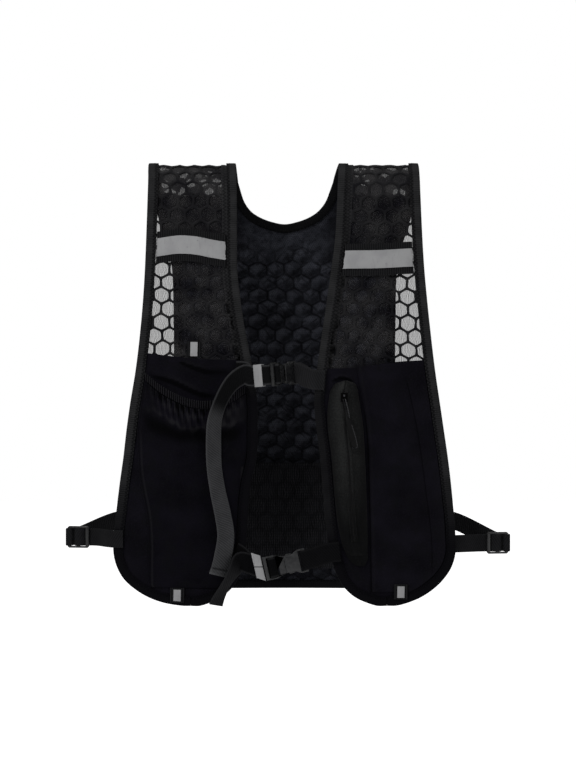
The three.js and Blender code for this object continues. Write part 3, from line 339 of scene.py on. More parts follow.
class Wires:
    """Places the nodes of one shader and joins them."""

    def __init__(self, tree):
        self.tree = tree

    def node(self, kind, **settings):
        made = self.tree.nodes.new(kind)
        for key, value in settings.items():
            setattr(made, key, value)
        return made

    def put(self, value, socket):
        """Joins a socket to another, or sets its value. A colour is linear red, green and blue."""
        if isinstance(value, bpy.types.NodeSocket):
            self.tree.links.new(value, socket)
        else:
            socket.default_value = (*value, 1.0) if socket.type == "RGBA" else value

    def fill(self, made, values):
        for value, socket in zip(values, made.inputs):
            self.put(value, socket)
        return made.outputs[0]

    def math(self, operation, *values):
        return self.fill(self.node("ShaderNodeMath", operation=operation), values)

    def sum(self, first, *others):
        for other in others:
            first = self.math("ADD", first, other)
        return first

    def times(self, first, *others):
        for other in others:
            first = self.math("MULTIPLY", first, other)
        return first

    def less(self, first, second):
        return self.math("SUBTRACT", first, second)

    def wave(self, phase):
        """A sine wave from 0 to 1."""
        return self.math("MULTIPLY_ADD", self.math("SINE", phase), 0.5, 0.5)

    def between(self, *values):
        """An eased step: the value, where it starts and ends, and what it goes from and to if not 0 to 1."""
        return self.fill(self.node("ShaderNodeMapRange", interpolation_type="SMOOTHSTEP"), values)

    def blend(self, factor, first, second):
        made = self.node("ShaderNodeMix", data_type="RGBA")
        self.put(factor, made.inputs["Factor"])
        self.put(first, made.inputs[6])
        self.put(second, made.inputs[7])
        return made.outputs[2]

    def over(self, tone, colour, *masks):
        """A tone with a colour laid over it, as far as the masks' product says."""
        return self.blend(self.times(*masks), tone, colour)

    def split(self, vector):
        made = self.node("ShaderNodeSeparateXYZ")
        self.put(vector, made.inputs[0])
        return made.outputs[0], made.outputs[1]

    def join(self, x, y):
        return self.fill(self.node("ShaderNodeCombineXYZ"), (x, y))

    def noise(self, vector, scale, detail=2.0, roughness=0.5):
        made = self.node("ShaderNodeTexNoise")
        for label, value in (("Vector", vector), ("Scale", scale), ("Detail", detail),
                             ("Roughness", roughness)):
            self.put(value, made.inputs[label])
        return made.outputs[0]


def group(name, inputs, outputs):
    """An empty shader group with named sockets: a place and the given numbers in, and values out."""
    tree = bpy.data.node_groups.new(name, "ShaderNodeTree")
    tree.interface.new_socket(name="Vector", in_out="INPUT", socket_type="NodeSocketVector")
    for label, default in inputs.items():
        socket = tree.interface.new_socket(name=label, in_out="INPUT", socket_type="NodeSocketFloat")
        socket.default_value = default
    for label in outputs:
        tree.interface.new_socket(name=label, in_out="OUTPUT", socket_type="NodeSocketFloat")
    w = Wires(tree)
    return w, w.node("NodeGroupInput").outputs, w.node("NodeGroupOutput").inputs, tree


def honeycomb_group():
    """Cells with a point upwards: distance in from the cell's edge, and one random number for each cell."""
    w, given, result, tree = group("Honeycomb", {"Pitch": 14.6}, ["Depth", "Cell"])
    x, y = (w.math("DIVIDE", part, given["Pitch"]) for part in w.split(given["Vector"]))
    tall = math.sqrt(3)
    pairs = []
    for shift in (0.0, 0.5):
        px = w.less(w.math("FLOORED_MODULO", w.sum(x, shift), 1.0), 0.5)
        py = w.less(w.math("FLOORED_MODULO", w.sum(y, shift * tall), tall), tall / 2)
        ax, ay = w.math("ABSOLUTE", px), w.math("ABSOLUTE", py)
        reach = w.math("MAXIMUM", ax, w.sum(w.times(ax, 0.5), w.times(ay, tall / 2)))
        pairs.append((reach, w.less(x, px), w.less(y, py)))
    (near, *first), (far, *second) = pairs
    w.put(w.times(w.less(0.5, w.math("MINIMUM", near, far)), given["Pitch"]), result["Depth"])
    pick = w.math("LESS_THAN", far, near)
    spot = [w.sum(w.times(a, w.less(1.0, pick)), w.times(b, pick)) for a, b in zip(first, second)]
    grain = w.node("ShaderNodeTexWhiteNoise", noise_dimensions="2D")
    w.put(w.join(*(w.math("ROUND", w.times(part, 2.0)) for part in spot)), grain.inputs["Vector"])
    w.put(grain.outputs["Value"], result["Cell"])
    return tree


def rib_group():
    """Knitted wales or ribs along the second axis, a little wavy: height from 0 to 1."""
    w, given, result, tree = group("Ribs", {"Pitch": 1.0, "Wander": 0.2, "Stitch": 0.0}, ["Height"])
    x, y = w.split(given["Vector"])
    wander = w.times(w.less(w.noise(given["Vector"], 0.16, 1.0), 0.5), given["Wander"], 6.0)
    ribs = w.wave(w.times(w.math("DIVIDE", w.sum(x, wander), given["Pitch"]), TURN))
    loops = w.wave(w.times(w.math("DIVIDE", y, given["Pitch"]), TURN * 0.8))
    w.put(w.times(ribs, w.less(1.0, w.times(given["Stitch"], loops))), result["Height"])
    return tree


def twill_group():
    """Diagonal twill of webbing: thread height from 0 to 1, with the fine threads across it."""
    w, given, result, tree = group("Twill", {"Pitch": 1.6, "Thread": 0.45}, ["Height"])
    x, y = w.split(given["Vector"])
    line = w.wave(w.times(w.math("DIVIDE", w.sum(x, w.times(y, 0.62)), given["Pitch"]), TURN))
    fine = w.wave(w.times(w.math("DIVIDE", x, given["Thread"]), TURN))
    w.put(w.sum(w.times(line, 0.62), w.times(fine, 0.38)), result["Height"])
    return tree


def zigzag_group():
    """Zigzag stitches along the first axis at one place of the second, and the cloth that they pull in."""
    sizes = {"Place": 6.0, "Pitch": 2.4, "Swing": 1.1, "Thread": 0.32}
    w, given, result, tree = group("Zigzag stitches", sizes, ["Thread", "Pull"])
    x, y = w.split(given["Vector"])
    half = w.math("DIVIDE", given["Pitch"], 2.0)
    teeth = w.less(w.math("DIVIDE", w.math("PINGPONG", x, half), half), 0.5)
    near = w.less(y, given["Place"])
    away = w.math("ABSOLUTE", w.less(near, w.times(teeth, given["Swing"], 2.0)))
    thread = (w.times(given["Thread"], 0.6), w.times(given["Thread"], 1.5))
    pull = (given["Swing"], w.times(given["Swing"], 2.2))
    w.put(w.between(away, *thread, 1.0, 0.0), result["Thread"])
    w.put(w.between(w.math("ABSOLUTE", near), *pull, 1.0, 0.0), result["Pull"])
    return tree


def mottle_group():
    """Slow and fine variation of a dyed, worn cloth, and sparse lint."""
    w, given, result, tree = group("Mottle", {"Slow": 0.05, "Fine": 1.5}, ["Shade", "Grain", "Lint"])
    place = given["Vector"]
    w.put(w.between(w.noise(place, given["Slow"], 3.0), 0.3, 0.7), result["Shade"])
    w.put(w.noise(place, given["Fine"], 4.0), result["Grain"])
    w.put(w.between(w.noise(place, 0.9, 5.0, 0.8), 0.68, 0.74), result["Lint"])
    return tree


HONEYCOMB = honeycomb_group()
RIBS = rib_group()
TWILL = twill_group()
ZIGZAG = zigzag_group()
MOTTLE = mottle_group()


class Finish(Wires):
    """A material with one Principled shader. Places are in millimetres on the cloth, or on the object."""

    def __init__(self, name, roughness=0.8, specular=0.15, sheen=0.0, on_cloth=True):
        self.material = bpy.data.materials.new(name)
        self.material.use_nodes = True
        super().__init__(self.material.node_tree)
        self.tree.nodes.clear()
        self.shader = self.node("ShaderNodeBsdfPrincipled")
        for label, value in (("Roughness", roughness), ("Specular IOR Level", specular),
                             ("Sheen Weight", sheen), ("Sheen Roughness", 0.5)):
            self.put(value, self.shader.inputs[label])
        self.put(self.shader.outputs[0], self.node("ShaderNodeOutputMaterial").inputs[0])
        self.place = self.second("cloth") if on_cloth else self.mapped(
            self.node("ShaderNodeTexCoord").outputs["Object"], Scale=(1000, 1000, 1000))

    def mapped(self, vector, **settings):
        made = self.node("ShaderNodeMapping")
        self.put(vector, made.inputs["Vector"])
        for label, value in settings.items():
            self.put(value, made.inputs[label])
        return made.outputs[0]

    def second(self, name):
        """The two values of a UV map, in millimetres."""
        values = self.node("ShaderNodeUVMap", uv_map=name).outputs[0]
        return self.mapped(values, Scale=(UV_UNIT, UV_UNIT, UV_UNIT))

    def turned(self, degrees):
        """The place on the cloth, turned about the surface normal."""
        return self.mapped(self.place, Rotation=(0, 0, math.radians(degrees)))

    def use(self, tree, **values):
        made = self.node("ShaderNodeGroup", node_tree=tree)
        for key, value in {"Vector": self.place, **values}.items():
            self.put(value, made.inputs[key])
        return made.outputs

    def mark(self, value):
        """How strongly a mark shows, from its value of 0 to 10 in a UV map."""
        return self.between(value, 0.0, 10.0)

    def colour(self, value):
        self.put(value, self.shader.inputs["Base Color"])

    def rough(self, value):
        self.put(value, self.shader.inputs["Roughness"])

    def bump(self, height, distance, strength):
        made = self.node("ShaderNodeBump")
        for label, value in (("Distance", distance * 0.001), ("Strength", strength), ("Height", height)):
            self.put(value, made.inputs[label])
        self.put(made.outputs[0], self.shader.inputs["Normal"])


def tinted(tint, share, lift=0.0):
    return tuple(part * share + lift for part in tint)


def net_finish():
    """Honeycomb net: fine knit along the bars, and a sewn border with a row of dark zigzag stitches."""
    f = Finish("Honeycomb net", roughness=0.9, specular=0.03, sheen=0.02)
    mottle = f.use(MOTTLE, Slow=0.042, Fine=2.2)
    ribs = f.use(RIBS, Pitch=1.15, Wander=0.12, Stitch=0.5)["Height"]
    border = f.second("border")
    stitches = f.use(ZIGZAG, Vector=border, Place=10.4, Pitch=3.4, Swing=1.3, Thread=0.85)
    sewn = f.between(f.split(border)[1], 12.2, 13.2, 1.0, 0.0)
    tone = f.blend(mottle["Shade"], (0.0062, 0.0059, 0.0078), (0.026, 0.0256, 0.0268))
    tone = f.over(tone, (0.023, 0.023, 0.0245), ribs, 0.35)
    tone = f.over(tone, (0.034, 0.034, 0.0355), sewn, 0.55)
    tone = f.over(tone, (0.004, 0.004, 0.0046), sewn, stitches["Thread"], 0.7)
    f.colour(tone)
    f.bump(f.sum(ribs, f.times(mottle["Grain"], 0.6), f.times(sewn, stitches["Pull"], -0.8)), 0.25, 0.7)
    return f.material


def lining_finish():
    """Sheer backing of the net: fine upright threads, with most cells closed behind the shoulder."""
    f = Finish("Sheer backing", roughness=0.8, specular=0.04, sheen=0.05)
    threads = f.use(RIBS, Pitch=1.3, Wander=0.6, Stitch=0.3)["Height"]
    mottle = f.use(MOTTLE, Slow=0.042, Fine=0.3)
    tone = f.blend(mottle["Shade"], (0.0062, 0.0056, 0.0082), (0.047, 0.0455, 0.0465))
    cover = f.sum(0.2, f.times(threads, 0.4), f.times(mottle["Grain"], 0.1))
    across, along = f.split(f.place)
    sway = f.noise(f.place, 0.11, 2.0, 0.5)
    shifted = f.join(f.sum(across, f.times(sway, 13.0)), f.sum(along, f.times(sway, -9.0)))
    cells = f.use(HONEYCOMB, Vector=shifted, Pitch=13.0)
    bars = f.between(cells["Depth"], 1.5, 2.1, 1.0, 0.0)
    closed = f.sum(f.times(bars, 0.8), f.between(cells["Cell"], 0.56, 0.58, 0.16, 0.75))
    behind = f.between(f.times(along, -1.0), -3.0, 1.0)
    # Behind the shoulder the backing is painted lighter: painted light, for the light that shows through the
    # net there.
    f.colour(f.blend(f.times(behind, 0.6), tone, (0.15, 0.149, 0.154)))
    f.put(f.math("MINIMUM", f.sum(cover, f.times(behind, closed)), 1.0), f.shader.inputs["Alpha"])
    f.bump(threads, 0.1, 0.5)
    return f.material


def spacer_finish():
    """Padded spacer mesh: cells with painted shade in the grooves and creases between them, painted light and
    shade on the sides of each cell, fine pores and uneven dye.
    """
    f = Finish("Padded spacer mesh", roughness=0.85, specular=0.05, sheen=0.05)
    place = f.second("cells")
    cells = f.use(HONEYCOMB, Vector=place, Pitch=17.4)
    pores = f.use(HONEYCOMB, Pitch=2.1)
    mottle = f.use(MOTTLE, Slow=0.045, Fine=0.9)
    crumple = f.noise(f.place, 0.19, 3.0, 0.6)
    deep = f.mark(f.split(f.second("calm"))[0])
    line = f.between(cells["Depth"], 0.2, 1.9, 1.0, 0.0)
    u, s = f.split(place)
    rising, falling = f.sum(u, s), f.less(u, s)
    slant = f.noise(f.join(f.times(rising, 0.17), f.times(falling, 0.035)), 1.0, 3.0, 0.55)
    across = f.noise(f.join(f.times(rising, 0.035), f.times(falling, 0.15)), 1.0, 3.0, 0.55)
    crease = f.math("MAXIMUM", f.between(slant, 0.54, 0.66), f.between(across, 0.56, 0.68))
    dark, light = f.split(f.second("relief"))
    pore = f.between(pores["Depth"], 0.25, 0.65)
    tone = f.blend(mottle["Shade"], (0.026, 0.0275, 0.0345), (0.052, 0.055, 0.069))
    tone = f.over(tone, (0.058, 0.061, 0.0765), f.between(cells["Cell"], 0.1, 0.9), 0.35, deep)
    blotch = f.noise(f.place, 0.085, 4.0, 0.65)
    tone = f.over(tone, (0.0125, 0.013, 0.0175), f.between(blotch, 0.43, 0.6), 0.5)
    tone = f.over(tone, (0.0085, 0.009, 0.0125), f.between(crumple, 0.5, 0.64), 0.6)
    # Painted highlight on the lit side of each cell.
    tone = f.over(tone, (0.068, 0.072, 0.089), f.mark(light), 0.55)
    # Painted shade in the creases.
    tone = f.over(tone, (0.0072, 0.0076, 0.0102), crease, 0.62, deep)
    tone = f.over(tone, (0.009, 0.0096, 0.013), pore, 0.35)
    # Painted shade: the shaded side of each cell, the pad's lower edge and the corners by the neck.
    tone = f.over(tone, (0.0035, 0.0036, 0.0052), f.mark(dark), 0.8)
    uneven = f.between(f.noise(f.place, 0.06, 2.0), 0.3, 0.6, 0.35, 0.9)
    # Painted shade in the grooves between the cells.
    tone = f.over(tone, (0.0035, 0.0036, 0.0052), line, uneven, deep)
    f.colour(tone)
    f.bump(f.sum(f.times(pore, -0.5), f.times(mottle["Grain"], 1.2), f.times(crease, deep, -2.0)), 0.5, 0.9)
    return f.material


def lower_net_finish():
    """Fine net with upright wales over the cells of the pad."""
    f = Finish("Fine lower net", roughness=0.88, specular=0.04, sheen=0.03)
    threads = f.use(RIBS, Pitch=2.1, Wander=0.6, Stitch=0.5)["Height"]
    cells = f.use(HONEYCOMB, Pitch=17.2)
    mottle = f.use(MOTTLE, Slow=0.05, Fine=0.5)
    line = f.between(cells["Depth"], 0.4, 3.2, 1.0, 0.0)
    tone = f.blend(threads, (0.0035, 0.0035, 0.0042), (0.033, 0.033, 0.037))
    tone = f.over(tone, (0.019, 0.0193, 0.0225), mottle["Shade"], 0.45)
    # Painted shade along the pad's cell lines, where the net dips between the cells.
    tone = f.over(tone, (0.003, 0.003, 0.0036), line, 0.35)
    f.colour(tone)
    f.bump(f.sum(threads, f.times(line, -0.8)), 0.35, 0.9)
    return f.material


def stretch_finish(name, tint):
    """Smooth stretch knit: fine wales, slow shading, dark pressed lines along its sewn edges, painted shade
    in its hollows and painted highlights on its crests.
    """
    f = Finish(name, roughness=0.85, specular=0.025, sheen=0.015)
    wales = f.use(RIBS, Pitch=0.7, Wander=0.06, Stitch=0.8)["Height"]
    mottle = f.use(MOTTLE, Slow=0.025, Fine=2.0)
    blotch = f.noise(f.place, 0.07, 4.0, 0.65)
    tone = f.blend(mottle["Shade"], tinted(tint, 0.5), tinted(tint, 1.45))
    tone = f.over(tone, (0.0042, 0.0043, 0.0048), f.between(blotch, 0.45, 0.65), 0.6)
    tone = f.over(tone, tinted(tint, 1.9), wales, 0.35)
    grain = f.noise(f.place, 0.75, 2.0, 0.7)
    tone = f.over(tone, tinted(tint, 2.4), f.between(grain, 0.5, 0.68), 0.4)
    tone = f.over(tone, (0.018, 0.018, 0.02), mottle["Lint"], 0.3)
    near, painted_highlight = f.split(f.second("seams"))
    # Painted highlight on the crests of folds and pleats.
    tone = f.over(tone, (0.023, 0.0222, 0.0245), f.mark(painted_highlight), 0.9)
    seam_and_shade = f.between(near, 6.2, 9.6)
    # Dark sewn lines, and painted shade in hollows, under ruffles and in pleats.
    tone = f.over(tone, (0.0004, 0.0004, 0.0006), seam_and_shade, 0.92)
    f.colour(tone)
    f.rough(f.between(mottle["Shade"], 0.0, 1.0, 0.8, 0.9))
    f.bump(f.sum(wales, f.times(mottle["Grain"], 0.8), f.times(seam_and_shade, -2.0)), 0.14, 0.8)
    return f.material


def woven_finish():
    """Fine woven cloth of the zipped pouch, with a painted highlight along its middle and painted shade
    towards its sides and bottom.
    """
    f = Finish("Fine woven cloth", roughness=0.8, specular=0.05, sheen=0.05)
    warp = f.use(RIBS, Pitch=0.85, Wander=0.04, Stitch=0.7)["Height"]
    weft = f.use(RIBS, Vector=f.turned(90), Pitch=0.85, Wander=0.04, Stitch=0.7)["Height"]
    mottle = f.use(MOTTLE, Slow=0.06, Fine=1.6)
    threads = f.math("MAXIMUM", warp, weft)
    tone = f.blend(mottle["Shade"], (0.0055, 0.0057, 0.0058), (0.011, 0.0115, 0.0116))
    tone = f.over(tone, (0.017, 0.0176, 0.0178), threads, 0.45)
    grain = f.noise(f.place, 0.6, 2.0, 0.7)
    tone = f.over(tone, (0.026, 0.0268, 0.0268), f.between(grain, 0.5, 0.66), 0.5)
    near, painted_highlight = f.split(f.second("seams"))
    # Painted highlight along the middle of the pouch.
    tone = f.over(tone, (0.03, 0.031, 0.0305), f.mark(painted_highlight), 0.7)
    seam_and_shade = f.between(near, 2.0, 10.0)
    # Painted shade at the sides and bottom, and a dark line at the zip's slit.
    tone = f.over(tone, (0.0014, 0.0014, 0.0018), seam_and_shade, 0.85)
    tone = f.over(tone, (0.003, 0.0031, 0.0033), f.between(grain, 0.5, 0.36), 0.35)
    f.colour(tone)
    f.bump(f.sum(threads, f.times(mottle["Grain"], 0.9)), 0.2, 0.8)
    return f.material


def tape_finish():
    """Binding tape: fine ribs across it, zigzag stitches near its inner edge, and painted shade on its inner
    side, towards the hem and beside the pockets at the neck.
    """
    f = Finish("Ribbed binding tape", roughness=0.88, specular=0.02, sheen=0.015)
    ribs = f.use(RIBS, Pitch=2.0, Wander=0.05, Stitch=0.3)["Height"]
    stitches = f.use(ZIGZAG, Place=6.6, Pitch=3.4, Swing=1.1, Thread=0.8)
    mottle = f.use(MOTTLE, Slow=0.07, Fine=2.4)
    side, painted_tape_shade = f.split(f.second("side"))
    tone = f.blend(mottle["Shade"], (0.012, 0.0121, 0.0128), (0.023, 0.0231, 0.0242))
    tone = f.over(tone, (0.038, 0.038, 0.0395), ribs, 0.6)
    tone = f.over(tone, (0.006, 0.006, 0.0066), stitches["Pull"], 0.3)
    tone = f.over(tone, (0.003, 0.003, 0.0036), stitches["Thread"], 0.7)
    # Painted shade towards the hem and beside the pockets at the neck.
    tone = f.over(tone, (0.0028, 0.0026, 0.0038), f.mark(painted_tape_shade), 0.93)
    # Painted shade on the tape's inner side.
    tone = f.over(tone, (0.0032, 0.0032, 0.0038), f.between(side, 2.0, 8.0), 0.8)
    f.colour(tone)
    sewn = f.sum(f.times(stitches["Pull"], -0.9), f.times(stitches["Thread"], 1.1))
    f.bump(f.sum(f.times(ribs, 0.5), sewn), 0.35, 0.9)
    return f.material


def webbing_finish(name, tint):
    """Twill webbing with a plain edge, with painted shade near its buckle and along the fold of its hem, and
    lighter at its folded end.
    """
    f = Finish(name, roughness=0.8, specular=0.02, sheen=0.01)
    twill = f.use(TWILL, Pitch=2.4, Thread=0.8)["Height"]
    mottle = f.use(MOTTLE, Slow=0.06, Fine=1.8)
    edge = f.between(f.math("ABSOLUTE", f.split(f.place)[1]), 7.0, 8.6)
    shaded, lighter_end = f.split(f.second("side"))
    tone = f.blend(mottle["Shade"], tinted(tint, 0.55), tinted(tint, 0.95))
    tone = f.over(tone, tinted(tint, 2.1), twill, 0.7)
    # Painted shade near the buckle and along the hem's fold.
    tone = f.over(tone, (0.0022, 0.0022, 0.0026), f.mark(shaded), 0.92)
    tone = f.over(tone, tinted(tint, 1.4, 0.005), edge, 0.5)
    # Lighter at the folded end.
    tone = f.over(tone, tinted(tint, 2.2, 0.006), f.mark(lighter_end), 0.75)
    f.colour(tone)
    f.bump(f.sum(twill, f.times(mottle["Grain"], 0.3)), 0.35, 0.9)
    return f.material


def ribbon_finish():
    """Black band under the reflector: upright ribs that show along its borders."""
    f = Finish("Ribbed band", roughness=0.85, specular=0.06, sheen=0.05)
    ribs = f.use(RIBS, Pitch=2.1, Wander=0.05, Stitch=0.2)["Height"]
    mottle = f.use(MOTTLE, Slow=0.08, Fine=2.0)
    tone = f.blend(mottle["Shade"], (0.0022, 0.0022, 0.0028), (0.0042, 0.0042, 0.005))
    tone = f.over(tone, (0.021, 0.021, 0.0225), ribs, 0.8)
    f.colour(tone)
    f.bump(ribs, 0.4, 0.9)
    return f.material


def reflector_finish(name="Silver reflective tape", gap=0.0):
    """Silver reflective tape: fine bead grain, rubbed patches, small creases with painted shade along them
    and a dark gap on a keeper.
    """
    f = Finish(name, roughness=0.55, specular=0.25)
    beads = f.noise(f.place, 3.5, 2.0)
    mottle = f.use(MOTTLE, Slow=0.05, Fine=0.5)
    across, along = f.split(f.place)
    creases = f.noise(f.join(f.times(across, 0.35), f.times(along, 0.05)), 1.0, 4.0, 0.6)
    tone = f.blend(mottle["Shade"], (0.31, 0.311, 0.319), (0.375, 0.376, 0.382))
    tone = f.over(tone, (0.25, 0.25, 0.257), f.between(mottle["Grain"], 0.62, 0.75))
    # Painted shade along the creases.
    tone = f.over(tone, (0.21, 0.21, 0.218), f.between(creases, 0.56, 0.7), 0.35)
    if gap:
        away = f.math("ABSOLUTE", f.split(f.second("gap"))[0])
        tone = f.over(tone, (0.02, 0.02, 0.022), f.between(away, gap, 0.0))
    f.colour(tone)
    f.put(0.1, f.shader.inputs["Metallic"])
    f.rough(f.between(beads, 0.3, 0.7, 0.46, 0.62))
    f.bump(f.sum(f.times(beads, 0.5), f.times(creases, 1.8)), 0.2, 0.8)
    return f.material


def plastic_finish(name, tint, roughness, metallic=0.0, specular=0.5):
    """Dark moulded nylon or paint: faint grain, handling marks and a rubbed sheen."""
    f = Finish(name, roughness=roughness, specular=specular, on_cloth=False)
    grain = f.noise(f.place, 2.8, 3.0)
    marks = f.noise(f.place, 0.35, 4.0, 0.7)
    f.colour(f.blend(f.between(marks, 0.35, 0.7), (tint * 0.8, tint * 0.82, tint * 0.9),
                     (tint * 1.5, tint * 1.52, tint * 1.6)))
    f.rough(f.between(marks, 0.3, 0.75, roughness * 0.8, roughness * 1.35))
    f.put(metallic, f.shader.inputs["Metallic"])
    f.bump(grain, 0.05, 0.5)
    return f.material


def chain_finish():
    """Zip chain: teeth across a narrow tape."""
    f = Finish("Zip chain", roughness=0.6, specular=0.15)
    teeth = f.between(f.math("PINGPONG", f.split(f.place)[1], 0.7), 0.2, 0.5)
    f.colour(f.blend(teeth, (0.002, 0.002, 0.0024), (0.009, 0.009, 0.0095)))
    f.bump(teeth, 0.4, 0.9)
    return f.material


net_cloth = net_finish()
lining_cloth = lining_finish()
spacer_cloth = spacer_finish()
lower_cloth = lower_net_finish()
stretch_cloth = stretch_finish("Stretch knit", (0.0052, 0.0047, 0.0073))
gather_cloth = stretch_finish("Gathered stretch knit", (0.0038, 0.0034, 0.0056))
woven_cloth = woven_finish()
tape_cloth = tape_finish()
tail_webbing = webbing_finish("Grey webbing", (0.043, 0.0435, 0.046))
dark_webbing = webbing_finish("Dark webbing", (0.014, 0.014, 0.0152))
side_webbing = webbing_finish("Side webbing", (0.0105, 0.0105, 0.0115))
black_webbing = webbing_finish("Black webbing", (0.0042, 0.0042, 0.0048))
ribbon_cloth = ribbon_finish()
silver_tape = reflector_finish()
keeper_tape = reflector_finish("Silver keeper tape", 0.9)
nylon = plastic_finish("Moulded nylon", 0.011, 0.3)
nylon_light = plastic_finish("Lighter nylon", 0.02, 0.34)
nylon_black = plastic_finish("Black nylon", 0.0035, 0.5, specular=0.12)
slider_paint = plastic_finish("Painted slider", 0.05, 0.22, 0.8)
slider_black = plastic_finish("Black paint", 0.0008, 0.6, specular=0.04)
chain_tape = chain_finish()


# Shoulder nets
NET_PITCH, NET_BAR, HOLE_CORNERS = 14.6, 2.15, 24
LEAST_MARGIN, LEAST_HOLE = 1.2, 1.6


def warped(u, s, size):
    """A place on the cloth, shifted a little so that knitted cells aren't all alike."""
    return (u + size * (0.6 * np.sin(u / 9.1 + 1.3 * np.sin(s / 13)) + 0.6 * np.sin(s / 7.3 + u / 21)),
            s + size * (0.5 * np.sin(s / 8.7 + 1.1 * np.sin(u / 11)) + 0.6 * np.sin(u / 6.9 - s / 17)))


def used_only(faces):
    """The points that faces use, and the faces with those points numbered from nought."""
    used = sorted({v for face in faces for v in face})
    order = {v: i for i, v in enumerate(used)}
    return used, [[order[v] for v in face] for face in faces]


def net_lattice(rows, first, top, bottom, sewn):
    """Points and faces of a honeycomb net between two edges, and each point's place from the neck edge."""
    step = NET_PITCH * math.sqrt(3) / 2
    numbers, plane, faces = {}, [], []

    def place(u, s, margins):
        u, s = warped(u, s, 0.9)
        s = float(np.clip(s, top, bottom))
        neck, arm = (float(at(rows, c, down_of(s))) * HALF for c in (1, 2))
        side = 1 if arm > neck else -1
        return neck + side * float(np.clip(side * (u - neck), margins[0], abs(arm - neck) - margins[1])), s

    def corner(spot):
        mark = (round(spot[0], 2), round(spot[1], 2))
        if mark not in numbers:
            numbers[mark] = len(plane)
            plane.append(spot)
        return numbers[mark]

    low, high = (pick(pick(row[1:]) for row in rows) * HALF for pick in (min, max))
    for r in range(int((top - first[1]) / step) - 2, int((bottom - first[1]) / step) + 3):
        s = first[1] + r * step
        shift = (r % 2) * NET_PITCH / 2
        for c in range(int((low - first[0]) / NET_PITCH) - 2, int((high - first[0]) / NET_PITCH) + 3):
            u = first[0] + shift + c * NET_PITCH
            rim, hole = [], []
            for k in range(HOLE_CORNERS):
                angle = 2 * math.pi * k / HOLE_CORNERS
                slant = 1 / math.cos(math.radians((math.degrees(angle) + 30) % 60 - 30))
                reach, inner = NET_PITCH / 2 * slant, (NET_PITCH - NET_BAR) / 2 * min(slant, 1.1)
                x, y = math.cos(angle), math.sin(angle)
                rim.append(corner(place(u + reach * x, s + reach * y, (LEAST_MARGIN, LEAST_MARGIN))))
                hole.append(place(u + inner * x, s + inner * y, sewn))
            if min(max(p[i] for p in hole) - min(p[i] for p in hole) for i in (0, 1)) < LEAST_HOLE:
                strips = [rim]
            else:
                hole = [corner(p) for p in hole]
                after = [(k + 1) % HOLE_CORNERS for k in range(HOLE_CORNERS)]
                strips = [(rim[k], rim[n], hole[n], hole[k]) for k, n in enumerate(after)]
            for strip in strips:
                face = [v for i, v in enumerate(strip) if v not in strip[:i]]
                if len(face) > 2:
                    faces.append(face)
    plane = np.array(plane)
    used, kept = used_only([face for face in faces if twice_area(*plane[face].T) > 0.02])
    plane = plane[used]
    inset = np.abs(plane[:, 0] - at(rows, 1, down_of(plane[:, 1])) * HALF)
    return plane, kept, np.stack([plane[:, 1], inset], 1)


def along_at_height(z):
    """The place along the front where the cloth is at a height, in millimetres."""
    s = np.linspace(0, FRONT_RUN, 2000)
    return float(np.interp(-z, -on_vest(0, s)[:, 2] * 1000, s))


def backing(name, rows, along, lift, slot, stands_for):
    """A sheer sheet behind a net, between the two edges of a shoulder."""
    down = down_of(along)[:, None]
    across = between_edges(at(rows, 1, down) * HALF, at(rows, 2, down) * HALF, np.linspace(0, 1, 25))
    lining = laid_cloth(name, across, along[:, None], lift, 0.2, lining_cloth, slot, stands_for)
    declare(lining)


NET_TOP, NET_END, PAD_TOP = (along_of(down) for down in (-0.07, 0.5, -0.1))
for side, rows, back_rows, first in (
        ("left", LEFT_EDGES, BACK_LEFT_EDGES, (-115.1, along_at_height(-98.4))),
        ("right", RIGHT_EDGES, BACK_RIGHT_EDGES, (115.5, along_at_height(-99.5)))):
    plane, faces, border = net_lattice(rows, first, NET_TOP + 0.3, NET_END - 0.3, (12.8, 8.4))
    net = cloth(f"shoulder_net_{side}", plane, faces, 0.45, 1.65, net_cloth, "net", f"yoke_{side}",
                ("border", border), crease=180)
    declare(net)
    backing(f"net_backing_{side}", rows, np.linspace(NET_TOP + 0.15, NET_END - 0.5, 90), 0.1, "net",
            f"yoke_{side}")
    backing(f"back_net_backing_{side}", back_rows, np.linspace(PAD_TOP - 4, NET_TOP - 0.15, 14), 2.0, "pad",
            "back_panel")


# Lower front panels and the stretch cloth over them


def seams(near, painted_highlight):
    """How dark a sewn line or a painted shade and how bright a painted highlight is at each point, from 0 to
    10, for the finish.
    """
    return ("seams", np.stack([np.clip(near, 0, 10).ravel(), np.clip(painted_highlight, 0, 10).ravel()], 1))


def line_at(distance, width):
    return 10 * bell(distance, width)


def front_panel(name, rows, top, folds, wall, stands_for, columns, pitch):
    """A stretch cloth over one front, from its top edge down to the hem. Top and folds are functions."""
    share = np.linspace(0, 1, columns + 1)
    count = int((HEM - np.min(top(share))) / pitch)
    r = np.linspace(0, 1, count)[:, None]
    along = top(share) * (1 - r) + HEM * r
    across = between_edges(*(at(rows, column, down_of(along)) * HALF for column in (1, 2)), share)
    low = folds(*np.broadcast_arrays(share, r), across, along)
    # Painted shade where the cloth's folds fall away downwards, and painted highlights on the raised folds.
    marks = seams(6 + np.clip(-np.gradient(low, axis=0) * 14, 0, 2.6), (low - low.min()) * 2.2)
    return laid_cloth(name, across, along, low, wall, stretch_cloth, "stretch", stands_for, marks)


HEM = along_of(1)
for side, rows in (("left", LEFT_EDGES), ("right", RIGHT_EDGES)):
    base = front_panel(f"front_base_{side}", rows, lambda v: v * 0 + NET_END + 0.3,
                       lambda v, r, u, s: v * 0 + 0.2, 1.4, f"base_{side}", 44, 3.0)
    declare(base)

